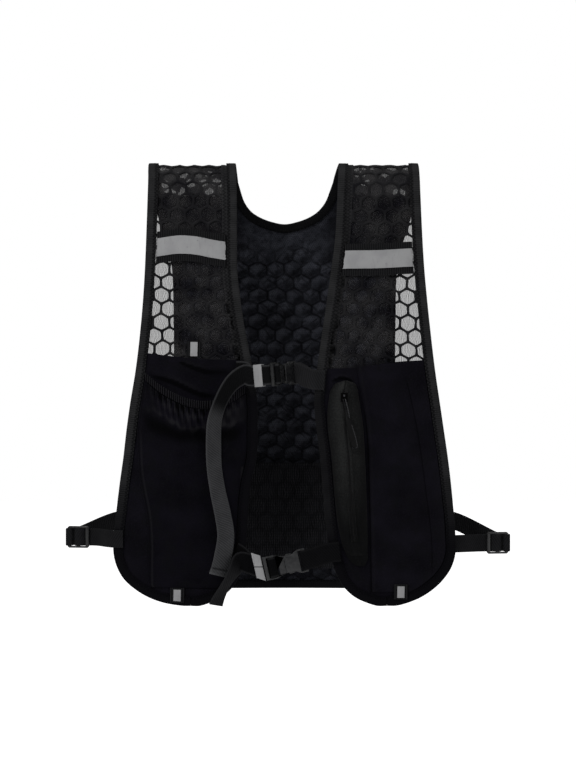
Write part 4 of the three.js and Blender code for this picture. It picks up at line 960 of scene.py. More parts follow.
LEFT_POCKET_TOP = [(0, 0.471), (0.5, 0.466), (1, 0.452)]
RIGHT_POCKET_TOP = [(0, 0.489), (0.3, 0.486), (0.7, 0.473), (1, 0.469)]
MOUTH_LINE = [(0, 0.534), (0.12, 0.552), (0.25, 0.564), (0.42, 0.568), (0.55, 0.563), (0.68, 0.551),
              (0.82, 0.534), (0.93, 0.517), (1, 0.505)]
ELASTIC_HEIGHT, ELASTIC_WALL = 8, 4


def left_slack(v, r, u, s):
    """Diagonal folds that pull from the sewn top edge towards the gathered mouth."""
    above = 1 - ease(s - along_of(at(MOUTH_LINE, 1, v)), -13, -6)
    free = above * np.clip(np.sin(np.pi * np.clip(v, 0.02, 0.98)), 0, 1) ** 0.4 * ease(r, 0.0, 0.03)
    skew = (v - 0.42) * 34 + (s - along_of(0.47)) * 0.95 + 1.5 * np.sin(v * 11)
    folds = np.maximum(np.sin(skew / 3.4), 0) ** 1.5 * 1.2 * bell(v - 0.6, 0.25)
    folds += np.maximum(np.sin(skew * 0.6 / 3.6 + 2.0), 0) * 0.7 * bell(v - 0.25, 0.2)
    return NET + GAP + free * folds


def right_slack(v, r, u, s):
    """A short arched fold over the end of the zipped pouch."""
    arch = s - along_of(0.505) - 4 * ((u - 54) / 11) ** 2
    return NET + GAP + 1.3 * bell(arch, 1.6) * np.exp(-((u - 54) / 8.5) ** 4)


for side, rows, table, folds in (("left", LEFT_EDGES, LEFT_POCKET_TOP, left_slack),
                                 ("right", RIGHT_EDGES, RIGHT_POCKET_TOP, right_slack)):
    over = front_panel(f"pocket_back_{side}", rows, lambda v, t=table: along_of(at(t, 1, v)), folds,
                       CLOTH - 0.1, f"pocket_panel_{side}", 90, 1.7)
    declare(over)


# Bottle pocket with a gathered mouth
BOTTLE_SEAM = [(0.5, -0.9), (0.626, -0.87), (0.715, -0.858), (0.812, -0.811), (0.967, -0.803)]
GUSSET_DOWN, GUSSET_ACROSS = (0.7, 0.76, 0.88, 0.93), (-41.5, -42.5, -45.5, -50)


def bottle_edges(down):
    near = inset_edge(LEFT_EDGES, 1, down, INSET)
    far = np.maximum(inset_edge(LEFT_EDGES, 2, down, INSET), at(BOTTLE_SEAM, 1, down) * HALF)
    return near, far


def bottle_bulge(v, share):
    return 15 * arch_over(v) ** 0.8 * (1 - 0.75 * ease(share, 0.25, 1)) * (1 - ease(share, 0.9, 1))


def ruffles(v, share):
    """Folds that hang from the gathered mouth: fine ones under the elastic and a few long ones."""
    turn = 2 * np.pi
    lean = v + 0.05 * share
    fine = np.sin(turn * 38 * lean + 2.6 * np.sin(9 * v) + 18 * share) * np.exp(-share / 0.045) * 0.9
    middle = np.sin(turn * 15 * lean + 2.4 * np.sin(8 * v + 1) + 60 * share) * np.exp(-share / 0.07) * 0.9
    middle += (np.sin(turn * 7 * (v - 0.35 * share) + 3 * np.sin(5 * v)) * np.sin(40 * share + 5 * v)
               * np.exp(-share / 0.13))
    long = np.sin(turn * 4.3 * (v + 0.12 * share) + 0.8) * np.exp(-share / 0.15) * 0.8
    end = 0.125 + 0.012 * np.sin(turn * 2.1 * v + 0.6) + 0.006 * np.sin(turn * 9 * v)
    puff = ease(share, 0, 0.05) * (1 - ease(share, end - 0.025, end + 0.02)) * 3.2
    under_strap = 1 - 0.55 * bell(v - 0.29, 0.08)
    return arch_over(v) ** 0.5 * (fine + middle + long + puff + 0.9) * under_strap


def smoothed(field, reach, axis):
    """A field of values, each one the mean of its neighbours on both sides."""
    return sum(np.roll(field, k, axis) for k in range(-reach, reach + 1)) / (2 * reach + 1)


def bottle_marks(v, r, folds, across, along, far):
    """Painted shade in the hollows between the ruffles, a painted shadow under them, painted highlights on
    the crests and beside the strap, and dark lines along the side stitching, partly painted shade, with
    painted highlights on the ridges beside them.
    """
    crests = folds - smoothed(smoothed(folds, 4, 1), 6, 0)
    crests = crests * (1 - ease(r, 0.13, 0.2)) * np.sin(np.pi * v) ** 0.4
    by_the_edge = bell(v - 0.12, 0.11) * (1 - ease(r, 0.1, 0.15))
    shadow = bell(r - 0.155 - 0.012 * np.sin(9 * v + 1) - 0.005 * np.sin(23 * v), 0.05)
    shadow = shadow * np.minimum(1.5 * np.sin(np.pi * v) ** 0.5, 1)
    hollow = np.clip(6.2 + np.clip(-crests * 5, -6, 3.4), 0, 9.4) * (1 - ease(r, 0.1, 0.15))
    hollow = np.maximum(hollow, np.where(shadow > 0.03, 6.1 + 2.9 * shadow, 0)) * (1 - 0.25 * by_the_edge)
    bright = np.clip(crests * 8 + 3.2 * by_the_edge, 0, 5.5)
    down, side = down_of(along), across - far
    gusset = across - np.interp(down, GUSSET_DOWN, GUSSET_ACROSS)
    gusset = np.where((down > GUSSET_DOWN[0]) & (down < GUSSET_DOWN[-1]), gusset, 20)
    lines = line_at(gusset, 0.9) * 0.85 + line_at(side - 1.4, 1.3) * 0.82
    ridges = 5 * bell(gusset - 3, 2.2) + 4 * bell(side - 3.6, 1.1) * ease(r, 0.15, 0.3)
    return seams(np.maximum(hollow, lines), np.maximum(bright, ridges))


share = np.linspace(0, 1, 121)
r = (np.linspace(0, 1, 141) ** 1.4)[:, None]
mouth = along_of(at(MOUTH_LINE, 1, share)) + ELASTIC_HEIGHT / 2 + GAP
along = mouth * (1 - r) + along_of(0.962) * r
near, far = bottle_edges(down_of(along))
across = between_edges(near, far, share)
v, r = np.broadcast_arrays(share, r)
folds = np.maximum(ruffles(v, r), -0.6)
flask = laid_cloth("bottle_pocket_cloth", across, along, FLOOR + bottle_bulge(v, r) + folds, CLOTH,
                   gather_cloth, "stretch", "bottle_pocket", bottle_marks(v, r, folds, across, along, far))
declare(flask)

CASING_CORNERS = 14
v = np.linspace(0, 1, 420)
down = at(MOUTH_LINE, 1, v)
across, along = between_edges(*bottle_edges(down), v), along_of(down)
lift = FLOOR + ELASTIC_WALL * 0.65 + GAP + bottle_bulge(v, 0 * v)
pleats = np.sin(2 * np.pi * 46 * v + 1.6 * np.sin(11 * v) + 0.9 * np.sin(29 * v))
sections, plane = [], []
for k in range(CASING_CORNERS):
    angle = 2 * np.pi * k / CASING_CORNERS
    out, up = math.cos(angle), math.sin(angle)
    swell = 1 + 0.3 * np.minimum(pleats, 0.55) * (0.6 + 0.4 * out)
    drop = ELASTIC_HEIGHT / 2 * 0.98 * np.sign(up) * abs(up) ** 0.8 * (0.9 + 0.08 * pleats)
    sections.append(on_vest(across, along + drop, lift + ELASTIC_WALL / 2 * 0.9 * out * swell))
    plane.append(np.stack([across * 1.6, np.full(len(v), k * 1.6)], 1))
# Painted shade in the pleats' valleys and painted highlights on their crests.
marks = seams(np.clip(0.25 - pleats, 0, 1) * 9.5, np.clip(pleats, 0, 1) * 8)[1]
drawn("gathered_mouth", sections, gather_cloth, "stretch", "bottle_elastic", plane,
      ("seams", np.repeat(marks, CASING_CORNERS, axis=0)), crease=75)


# Stretch pocket on the right, with a pleat down its outer side
STRETCH_EDGE = [(0.48, 0.423), (0.617, 0.481), (0.772, 0.499), (0.985, 0.511)]
PLEAT_LINE = [(0.498, 0.705), (0.617, 0.775), (0.754, 0.829), (0.869, 0.865), (0.967, 0.866)]
share = np.linspace(0, 1, 71)
r = np.linspace(0, 1, 101)[:, None]
along = (along_of(0.484 * (1 - share) + 0.469 * share) + GAP) * (1 - r) + along_of(0.972) * r
down = down_of(along)
near = np.maximum(inset_edge(RIGHT_EDGES, 1, down, INSET), at(STRETCH_EDGE, 1, down) * HALF)
far = inset_edge(RIGHT_EDGES, 2, down, INSET)
across = between_edges(near, far, share)
v, r = np.broadcast_arrays(share, r)
pleat = (at(PLEAT_LINE, 1, down) * HALF - near) / (far - near)
rise = arch_over(np.minimum(v / np.maximum(pleat, 0.1), 1)) ** 0.7
beyond = arch_over(np.clip((v - pleat) / np.maximum(1 - pleat, 0.05), 0, 1))
low = FLOOR + (5 * rise + 1.1 * beyond) * arch_over(np.minimum(r + 0.12, 1)) ** 0.5
low = low + 0.25 * rise * np.sin((across * 0.4 + along) / 13) * np.sin(np.pi * r)
from_zip, from_pleat = v * (far - near), (v - pleat) * (far - near)
# Painted shadow along the edge over the pouch and in the pleat, and painted highlights beside the pouch and
# towards the outer edge.
lines = line_at(from_zip, 1.6) * ease(r, 0.02, 0.25)
lines = lines + 0.85 * line_at(from_pleat - 0.8, 1.7) * ease(r, -0.05, 0.1)
ridges = 2.0 * bell(from_zip - 3, 1.5) + 1.6 * ease(v, 0.75, 1) * ease(r, 0.3, 0.6)
side_pocket = laid_cloth("side_pocket_cloth", across, along, low, CLOTH, stretch_cloth, "stretch",
                         "stretch_pocket", seams(lines, ridges))
declare(side_pocket)


# Zipped pouch, its zip, slider and pull
ZIP_POUCH = [(0.515, 0.345, 0.37), (0.519, 0.31, 0.405), (0.53, 0.28, 0.425), (0.555, 0.26, 0.438),
             (0.6, 0.252, 0.458), (0.68, 0.277, 0.473), (0.76, 0.294, 0.482), (0.84, 0.322, 0.488),
             (0.88, 0.352, 0.488), (0.905, 0.39, 0.486), (0.915, 0.425, 0.47)]
POUCH_TOP, POUCH_END = ZIP_POUCH[0][0], ZIP_POUCH[-1][0]
ZIP_WALL = 1.4


def zip_bulge(v, down):
    along = np.clip((down - POUCH_TOP) / (POUCH_END - POUCH_TOP), 0, 1)
    return 12 * arch_over(v) ** 0.7 * np.sin(np.pi * np.minimum(1, 0.06 + along)) ** 0.45


def zip_across(down):
    return (at(ZIP_POUCH, 1, down) + at(ZIP_POUCH, 2, down)) / 2 * HALF


def zip_crown(down):
    """The lift of the zip's own face over the pouch."""
    return FLOOR + zip_bulge(0.5, down) + CLOTH + GAP


share = (1 - np.cos(np.linspace(0, np.pi, 49))) / 2
down = (POUCH_TOP + 0.4 * np.linspace(0, 1, 121) ** 1.15)[:, None]
near, far = at(ZIP_POUCH, 1, down) * HALF, at(ZIP_POUCH, 2, down) * HALF
across = between_edges(near, far, share)
v, d = np.broadcast_arrays(share, down)
along = along_of(d)
crease = bell(v - 0.5, 0.06) * 0.7 - bell(v - 0.36, 0.05) * 0.5
puckers = 0.22 * np.sin(along / 3.1 + 2 * np.sin(along / 17)) * bell(v - 0.42, 0.16)
low = FLOOR + np.maximum(zip_bulge(v, d) + (crease + puckers) * np.sin(np.pi * v) * ease(d, 0.53, 0.57), 0)
slit = np.abs(across - zip_across(down)) + 50 * ease(d, 0.54, 0.545)
# Painted shade towards both sides and the bottom of the pouch, a painted highlight along its middle, and a
# dark line at the slit.
shade_in = 9 * np.exp(-(1 - v) * (far - near) / 8) + 8.5 * np.exp(-v / 0.12) + 8 * ease(d, 0.68, 0.9)
sheen_on = (8.5 + 1.5 * np.sin(along / 9)) * bell(v - 0.4, 0.2) * (1 - 0.85 * ease(d, 0.6, 0.85))
pouch = laid_cloth("zip_pouch_cloth", across, along, low, CLOTH, woven_cloth, "woven", "zip_pouch",
                   seams(np.maximum(shade_in, line_at(slit, 0.8)), sheen_on))
declare(pouch)

down = np.linspace(0.535, 0.86, 90)
# The lips carry the pouch's painted shade towards the bottom and its painted highlight.
tones = np.stack([2.5 + 8 * ease(down, 0.68, 0.9), 4.5 * (1 - 0.85 * ease(down, 0.6, 0.85))], 1)
for name, place, width, wall, finish in (("zip_lip_inner", -1.9, 2.3, 1.3, woven_cloth),
                                         ("zip_lip_outer", 1.9, 2.3, 1.3, woven_cloth),
                                         ("zip_teeth", 0.0, 1.3, 0.8, chain_tape)):
    round_line(name, zip_across(down) + place, along_of(down), zip_crown(down) + wall / 2,
               (width / 2, wall / 2), finish, "tape", "zip_chain",
               extra=("seams", np.repeat(tones, ROUND_CORNERS, axis=0)))


def rounded_block(name, centre, size, turn, material, stands_for, bevel):
    """A small moulded block laid on the vest: across, along and lift of its middle, then its sizes."""
    bpy.ops.mesh.primitive_cube_add(size=1)
    block = bpy.context.object
    block.name = block.data.name = name
    cos, sin = math.cos(turn), math.sin(turn)
    for vertex in block.data.vertices:
        a, b, c = (x * s for x, s in zip(vertex.co, size))
        u, s = centre[0] + a * cos - b * sin, centre[1] + a * sin + b * cos
        vertex.co = Vector(on_vest(u, s, centre[2] + c))
    mesh = bmesh.new()
    mesh.from_mesh(block.data)
    bmesh.ops.recalc_face_normals(mesh, faces=mesh.faces)
    bmesh.ops.bevel(mesh, geom=mesh.edges, offset=bevel * 0.001, segments=3, profile=0.6, affect="EDGES")
    mesh.to_mesh(block.data)
    mesh.free()
    soften(block.data, 50)
    block.select_set(False)
    belongs(block, material, stands_for)
    return block


SLIDER = 0.552
slider_s, slider_u, crown = float(along_of(SLIDER)), float(zip_across(SLIDER)), float(zip_crown(SLIDER))
slider_lift = crown + ZIP_WALL + 2 * GAP
rounded_block("slider_body", (slider_u, slider_s, slider_lift + 0.9), (6.6, 8.6, 1.8), 0,
              slider_black, "zip_slider", 0.7)
rounded_block("slider_bridge", (slider_u, slider_s - 1.6, slider_lift + 2.5), (1.7, 2.0, 1.4), 0,
              slider_paint, "zip_slider", 0.6)

route = even([(slider_u, slider_s + 1.5, slider_lift + 2.7),
              (slider_u + 1.2, slider_s + 6, slider_lift + 2.2),
              (slider_u + 3, slider_s + 13, crown + 2.6), (slider_u + 4, slider_s + 19, crown + 2.8)], 0.8)
for name, shift, finish in (("pull_cord_inner", -1.0, dark_webbing), ("pull_cord_outer", 1.0, tail_webbing)):
    round_line(name, route[:, 0] + shift, route[:, 1], route[:, 2], (0.5, 0.5), finish,
               "plastic", "zip_pull", 0.5)

# The grip's rows: across and along from the slider, width and thickness
GRIP_ROWS = [(4, 19, 4.6, 1.9), (4.2, 20.5, 5.8, 2.6), (4.5, 23, 5.6, 2.7), (4.9, 25, 4.8, 2.2),
             (5.8, 29, 5.6, 2.3), (7.6, 36, 6.5, 2.5), (9, 42, 6.5, 2.5), (9.7, 45, 5.6, 2.3),
             (10, 46.6, 3.2, 1.6)]
GRIP_CORNERS = 12
u, s, width, wall = even(GRIP_ROWS, 0.9).T
floor = zip_crown(down_of(slider_s + s)) + ZIP_WALL + GAP
sections = []
for k in range(GRIP_CORNERS):
    angle = 2 * np.pi * k / GRIP_CORNERS
    wide, high = (np.sign(x) * abs(x) ** 0.6 for x in (math.cos(angle), math.sin(angle)))
    sections.append(on_vest(slider_u + u + width / 2 * wide, slider_s + s, floor + 1.5 + wall / 2 * high))
drawn("pull_grip", sections, nylon_black, "plastic", "zip_pull", crease=60)
edge = even([(slider_u + u + w * 0.42, slider_s + s, 0.0) for u, s, w, _ in GRIP_ROWS[3:8]]
            + [(slider_u + 9.6, slider_s + 46.2, 0.0), (slider_u + 6.6, slider_s + 45.6, 0.0)], 0.8)
round_line("pull_grip_edge", edge[:, 0], edge[:, 1], zip_crown(down_of(edge[:, 1])) + ZIP_WALL + GAP + 2.5,
           (0.35, 0.35), tail_webbing, "plastic", "zip_pull", 0.4)


# Back panel of padded mesh, and the finer net over its lower inside
CELL, CELL_SQUASH, CELL_SHRINK = 17.4, 0.84, 0.72
PAD_STEP, PAD_COLUMNS = 2.2, 77
NECK_END, HEM_END = along_of(-0.17), along_of(-0.995)


def cell_depth(u, s):
    """How far in from its cell's edge each place is."""
    x, y = u / CELL, s / CELL
    tall = math.sqrt(3)
    reaches = []
    for shift in (0.0, 0.5):
        px = np.abs(np.mod(x + shift, 1.0) - 0.5)
        py = np.abs(np.mod(y + shift * tall, tall) - tall / 2)
        reaches.append(np.maximum(px, px * 0.5 + py * tall / 2))
    return (0.5 - np.minimum(*reaches)) * CELL


def pad_cells(u, s):
    """The place among the pad's cells, which are wider than tall and a little uneven."""
    a, b = warped(u * CELL_SHRINK, s * CELL_SHRINK, 1.1)
    return np.stack([u + a - u * CELL_SHRINK, (s + b - s * CELL_SHRINK) / CELL_SQUASH], -1)


def pad_half(neck_rows, side):
    """One half of the pad from the middle out: its places, and how far in each is from the taped edges."""
    neck = [(inner * HALF, along_of(down), 0) for down, inner, _ in neck_rows]
    curve = even(neck + [(0, NECK_END, 0)], 1.6)
    below = np.arange(curve[-1, 1] - PAD_STEP, along_of(-0.99), -PAD_STEP)
    s = np.concatenate([curve[:, 1], below, [HEM_END]])
    inner = np.concatenate([curve[:, 0], np.zeros(len(s) - len(curve))])
    arm = [(down, side * outer) for down, _, outer in neck_rows] + BACK_SIDE
    outer = side * at(arm, 1, down_of(s))[:, None] * HALF
    u = between_edges(inner[:, None], outer, np.linspace(0, 1, PAD_COLUMNS))
    s = np.repeat(s[:, None], PAD_COLUMNS, 1)
    to_neck = np.min(np.hypot(u[..., None] - curve[::3, 0], s[..., None] - curve[::3, 1]), axis=-1)
    return u, s, np.minimum(np.minimum(np.abs(u - outer), np.abs(s - along_of(-1))), to_neck)


plane, thin, faces = [], [], []
for neck_rows, side in ((BACK_LEFT_EDGES, -1), (BACK_RIGHT_EDGES, 1)):
    u, s, inset = pad_half(neck_rows, side)
    offset = sum(len(half) for half in plane)
    faces += [[offset + v for v in face][::-side] for face in grid_faces(*u.shape)]
    plane.append(np.stack([u.ravel(), s.ravel()], 1))
    thin.append(inset.ravel())
plane, thin = np.vstack(plane), np.concatenate(thin)
_, first, order = np.unique(np.round(plane, 3), axis=0, return_index=True, return_inverse=True)
plane, thin, order = plane[first], thin[first], order.ravel()
faces = [[int(order[v]) for v in face] for face in faces]
cut = PAD_TOP - 1.6 * np.sin(plane[:, 0] / 4.3) - plane[:, 1]
used, faces = used_only([face for face in faces if len(set(face)) == 4 and min(cut[v] for v in face) > 0])
plane, thin, cut = plane[used], thin[used], cut[used]
places = pad_cells(*plane.T)
below = -down_of(plane[:, 1])
a, b = places.T
dome = 1 - (1 - np.clip(cell_depth(a, b) / 3.6, 0, 1)) ** 2.2
shut = ease(thin, 6.5, 12) * ease(cut, 0, 7)
calm = 0.15 + 0.85 * ease(below + 0.012 * np.sin(plane[:, 0] / 8), 0.185, 0.275)
crumple = 0.35 * np.sin(a / 3.1 + 2 * np.sin(b / 7)) * np.sin(b / 4.2)
relief = (1.35 * (1 - dome) + 0.45 * np.abs(crumple)) * shut * calm
low = 0.15 + 0.4 * (1 - shut) + relief
high = PAD - 0.15 - 0.4 * (1 - shut) - relief * 0.85
back = cloth("back_pad", plane, faces, low, high, spacer_cloth, "pad", "back_panel", ("cells", places),
             crease=60)
# Painted light and shade for the pad: each cell lighter on one side and darker on the other, painted shade
# towards the lower net's edge and in the corners by the neck.
toward = cell_depth(a + 1.6, b - 2.2) - cell_depth(a - 1.6, b + 2.2)
lower_edge_shade = 5 * ease(below, 0.66, 0.73)
corner = 9 * ease(np.abs(plane[:, 0]), 30, 50) * (1 - ease(below, 0.16, 0.3))
dark = np.clip(np.clip(-toward * 2.2, 0, 8) * shut * calm + lower_edge_shade + corner, 0, 10)
light = np.clip(toward * 1.9 - 1.0, 0, 8) * shut * calm * (1 - lower_edge_shade / 5)
lay_out(back.data, "relief", np.tile(np.stack([dark, light], 1), (2, 1)))
lay_out(back.data, "calm", np.tile(np.stack([10 * calm, 10 * calm], 1), (2, 1)))

s = np.arange(along_of(-0.715), along_of(-0.958), -2.0)[:, None]
reach = at(BACK_SIDE, 1, down_of(s)) * HALF * 0.75
u = between_edges(-reach, reach, np.linspace(0, 1, 111))
low = -1.05 + 0.35 * np.exp(-np.maximum(cell_depth(u, s), 0) / 2.0) + 0.1 * np.sin(u / 17) * np.sin(s / 13)
lower_net = laid_cloth("lower_inner_net", u, s, low, 0.5, lower_cloth, "net", "back_lower_net")
declare(lower_net)


# Binding tape folded over every edge
TAPE_PRESS = ((TAPE_WIDTH, 0), (TAPE_WIDTH - 1.1, 0.25), (5.2, 0.0), (3, 0.1), (1.0, 0.0))
TAPE_INSIDE = ((TAPE_WIDTH - 0.2, 1), (5, 1), (1.6, 1), (-0.15, 0.5), (-0.3, 0), (-0.15, -0.5),
               (1.6, -1), (5, -1), (TAPE_WIDTH - 0.2, -1))


def held_at(along):
    """The thickness of the cloth inside the tape at a place along."""
    return np.interp(down_of(along), [-0.08, -0.07, 0.37, 0.4], [PAD, NET, NET, STACK])


def tape_ring():
    """Around a folded tape: the way in from the edge, the level from -1 to 1, the press, whether inside."""
    under = [(inset, -1.0, press) for inset, press in TAPE_PRESS]
    fold = [(-0.3 - 1.0 * math.cos(a), math.sin(a), 0.0) for a in np.radians([-75, -50, -25, 0, 25, 50, 75])]
    over = [(inset, 1.0, press) for inset, press in TAPE_PRESS[::-1]]
    ring = [(*row, False) for row in under + fold + over]
    ring += [(inset, level, 0, True) for inset, level in TAPE_INSIDE]
    return [(min(inset, 6.2 + 0.25 * inset / TAPE_WIDTH) if level < -0.9 else inset, level, press, inside)
            for inset, level, press, inside in ring]


def waves(run, lengths, phases, sizes):
    return sum(np.sin(run / length + phase) * size for length, phase, size in zip(lengths, phases, sizes))


def binding(name, path, side, stands_for, seed):
    """Tape over an edge: its path in the plane, with the cloth to its right where the side is 1."""
    line = even([(*p, 0.0) for p in path], 1.6, 16)[:, :2]
    run = run_of(line)
    way = unit(np.gradient(line, run, axis=0))
    inward = np.stack([side * way[:, 1], -side * way[:, 0]], 1)
    down = down_of(line[:, 1])
    # Painted shade: the tape is darker towards the hem, and beside the pockets at the neck.
    shaded = 10 * ease(down, 0.6, 0.95)
    if name == "neck_tape":
        shaded = np.maximum(shaded, ease(down, 0.5, 0.56) * np.where(line[:, 0] < 0, 10.0, 6.5))
    phase = dips(seed, 6, 0, 6.28)
    wrinkle = waves(run, (3.1, 5.3, 8.9, 14, 23, 41), phase, (0.05, 0.07, 0.09, 0.1, 0.1, 0.1))
    edge_shift = waves(run, (4.3, 9.7, 19, 37), phase[::-1], (0.05, 0.1, 0.12, 0.15))
    bottom, top = -GAP - TAPE_WALL, held_at(line[:, 1]) + GAP + TAPE_WALL
    middle, thick = (bottom + top) / 2, (top - bottom) / 2
    sections, plane, sides = [], [], []
    for inset, level, press, inner in tape_ring():
        lift = middle + level * (thick - TAPE_WALL * 0.92 if inner else thick)
        if not inner:
            lift = lift + np.sign(level) * (wrinkle * np.clip(inset / 4, 0, 1) * 0.8 - press * 0.8)
        shift = inset + edge_shift * (inset > 4)
        if inner:
            shift = np.minimum(shift, TAPE_WIDTH - 0.2 + edge_shift)
        place = line + inward * shift[:, None]
        sections.append(on_vest(*place.T, lift))
        plane.append(np.stack([run, np.full(len(run), max(inset, -1.4))], 1))
        sides.append(np.stack([np.full(len(run), 5.0 - 5 * level), shaded], 1))
    drawn(name, sections, tape_cloth, "tape", stands_for, plane,
          ("side", np.stack(sides, 1).reshape(-1, 2)), crease=70)


def edge_path(rows, column, mirror=1):
    return [(mirror * row[column] * HALF, along_of(row[0])) for row in rows]


def hem_middle(rows, shift):
    return ((rows[-1][1] + rows[-1][2]) / 2 * HALF + shift, HEM)


binding("neck_tape", [
    hem_middle(LEFT_EDGES, GAP), *edge_path(LEFT_EDGES, 1)[::-1], *edge_path(BACK_LEFT_EDGES, 1),
    (0, NECK_END), *edge_path(BACK_RIGHT_EDGES, 1)[::-1], *edge_path(RIGHT_EDGES, 1),
    hem_middle(RIGHT_EDGES, -GAP)], 1, "neck_binding", 3)
for name, rows, back_rows, side, seed in (("left", LEFT_EDGES, BACK_LEFT_EDGES, -1, 5),
                                          ("right", RIGHT_EDGES, BACK_RIGHT_EDGES, 1, 8)):
    binding(f"arm_tape_{name}", [hem_middle(rows, 0), *edge_path(rows, 2)[::-1], *edge_path(back_rows, 2),
                                 *edge_path(BACK_SIDE, 1, side)], side, f"arm_binding_{name}", seed)
hem_half = BACK_SIDE[-1][1] * HALF - GAP
binding("hem_tape", [(x, along_of(-1)) for x in np.linspace(-hem_half, hem_half, 7)], -1, "hem_binding", 13)


# Shoulder bands and their reflectors
LEFT_BAND = [(0, 0.233), (0.2, 0.2285), (0.45, 0.2215), (0.65, 0.2195), (1, 0.225)]
RIGHT_BAND = [(0, 0.252), (0.5, 0.2515), (1, 0.2465)]


def band(name, rows, table, height, under, wall, material, slot, stands_for, ragged=0.0, seed=1):
    """A band across one shoulder that bows over the net, with frayed ends where it is ragged."""
    share = np.linspace(0, 1, 91)
    along = along_of(at(table, 1, share)) + np.linspace(-0.5, 0.5, 13)[:, None] * height
    inner, outer = (inset_edge(rows, column, down_of(along), INSET) for column in (1, 2))
    bite = ragged * (0.5 + 0.3 * np.sin(along * 2.3 + seed) + 0.2 * np.sin(along * 5.1 + 2 * seed))
    bite = bite * np.sign(rows[0][1])
    across = between_edges(inner + bite, outer - bite * 0.6, share)
    ripple = 0.12 * np.sin(across / 4.1 + seed) + 0.08 * np.sin(along / 3 + across / 9)
    low = under + 3 * arch_over(share) ** 0.6 + np.maximum(ripple, -0.1) * np.sin(np.pi * share)
    laid_cloth(name, across, along, low, wall, material, slot, stands_for)


for side, rows, table, seed in (("left", LEFT_EDGES, LEFT_BAND, 2), ("right", RIGHT_EDGES, RIGHT_BAND, 5)):
    band(f"shoulder_band_{side}", rows, table, 30, NET + GAP, 1.5, ribbon_cloth, "webbing", f"band_{side}")
    band(f"shoulder_reflector_{side}", rows, table, 17, NET + 2 * GAP + 1.6, 0.5, silver_tape, "reflector",
         f"band_{side}_reflector", ragged=1.3, seed=seed)


# Small folded tabs: across, down, the lift of what each lies on, and its strip's height
TAB_WALL, STRIP_WALL = 1.4, 0.6
for name, across, down, floor, tall in (("chest", -0.533, 0.446, NET, 13.4),
                                        ("hem_left", -0.632, 0.979, FLOOR + TAPE_WALL, 10.8),
                                        ("hem_right", 0.686, 0.972, FLOOR + TAPE_WALL, 10.8)):
    u, s, lift = across * HALF, along_of(down), floor + GAP + TAB_WALL / 2
    tab = rounded_block(f"loop_{name}", (u, s, lift), (13, 14, TAB_WALL), 0.02, ribbon_cloth,
                        f"tab_{name}", 0.5)
    strip = rounded_block(f"loop_{name}_strip", (u, s, lift + TAB_WALL / 2 + GAP + STRIP_WALL / 2),
                          (6.8, tall, STRIP_WALL), 0.02, silver_tape, f"tab_{name}_strip", 0.2)
    lay_flat(tab)
    lay_flat(strip)


# Webbing and the hardware that it runs through, in millimetres. A route is a list of places in the middle
# of the webbing, each with the direction across its width.
WEBBING, SIDE_WEBBING, WEBBING_WALL = 18.5, 16.5, 1.3
BUCKLE_END, BUCKLE_WALL, BAR, SLOT = 20, 2.4, 3, 3.8
LOCK_END, LOCK_FORWARD, LOCK_TURN = 10.5, 22, 14
TAIL_LIFT = 26
SHOWN_WALL = 1.25
CROSS_LEFT = -BUCKLE_END + BAR + SLOT
CROSS_RIGHT = CROSS_LEFT + BAR
STRAND_NEAR = BUCKLE_WALL / 2 + GAP + WEBBING_WALL / 2
STRAND_FAR = STRAND_NEAR + WEBBING_WALL + GAP
SEWN_GAP = 3 * GAP + WEBBING_WALL / 2
SEWN_LIFT = FLOOR + TAPE_WALL + SEWN_GAP
PAIR_LIFT = SEWN_LIFT + WEBBING_WALL / 2 + GAP
BACK_LIFT = PAD + GAP + TAPE_WALL + SEWN_GAP
UNDER_LIFT = -TAPE_WALL - 4 * GAP - WEBBING_WALL / 2


class Held:
    """A buckle or lock as it lies: X runs along the webbing, -Y faces forward and Z runs across it."""

    def __init__(self, centre, turn, tilt=0.0):
        a, b = math.radians(turn), math.radians(tilt)
        self.centre = centre
        self.axes = np.array([[math.cos(b) * math.cos(a), -math.cos(b) * math.sin(a), -math.sin(b)],
                              [math.sin(a), math.cos(a), 0],
                              [math.sin(b) * math.cos(a), -math.sin(b) * math.sin(a), math.cos(b)]])

    def row(self, x, y, z=0.0):
        """A place on a route, with the webbing square to the plate's X and Y."""
        return np.concatenate([self.centre + self.axes @ (x, y, z), self.axes[:, 2]])


def place_of(across, down, lift):
    """A point in millimetres from a share of half the width, a share of the way down and a lift."""
    return on_vest(across * HALF, along_of(down), lift) * 1000


def laid(across, down, lift, turn=0, lean=0):
    """A place on a route over the vest. The webbing is turned in the front view and leaned forward."""
    a, b = math.radians(turn), math.radians(lean)
    way = (math.sin(a) * math.cos(b), -math.sin(b), math.cos(a) * math.cos(b))
    return np.array([*place_of(across, down, lift), *way])


def free_tail(rows):
    """A hanging tail. Its lift is a share of the tail's greatest."""
    return [laid(across, down, lift * TAIL_LIFT, turn, lean) for across, down, lift, turn, lean in rows]


def through_ladder(buckle):
    """Webbing under the outer bar, up over the cross bar and back."""
    return [buckle.row(x, y) for x, y in (
        (CROSS_RIGHT - 1, STRAND_FAR), (CROSS_RIGHT + 0.7, STRAND_FAR - 0.7),
        (CROSS_RIGHT + 1.5, STRAND_FAR * 0.3), (CROSS_RIGHT + 1.5, -0.8),
        (CROSS_RIGHT + 0.4, -STRAND_NEAR + 0.1), (CROSS_RIGHT - 0.8, -STRAND_NEAR),
        (CROSS_LEFT + 0.8, -STRAND_NEAR), (CROSS_LEFT - 0.7, -STRAND_NEAR + 0.4),
        (CROSS_LEFT - 1.35, -0.3), (CROSS_LEFT - 1.7, 1), (CROSS_LEFT - 2.6, STRAND_NEAR - 0.2))]


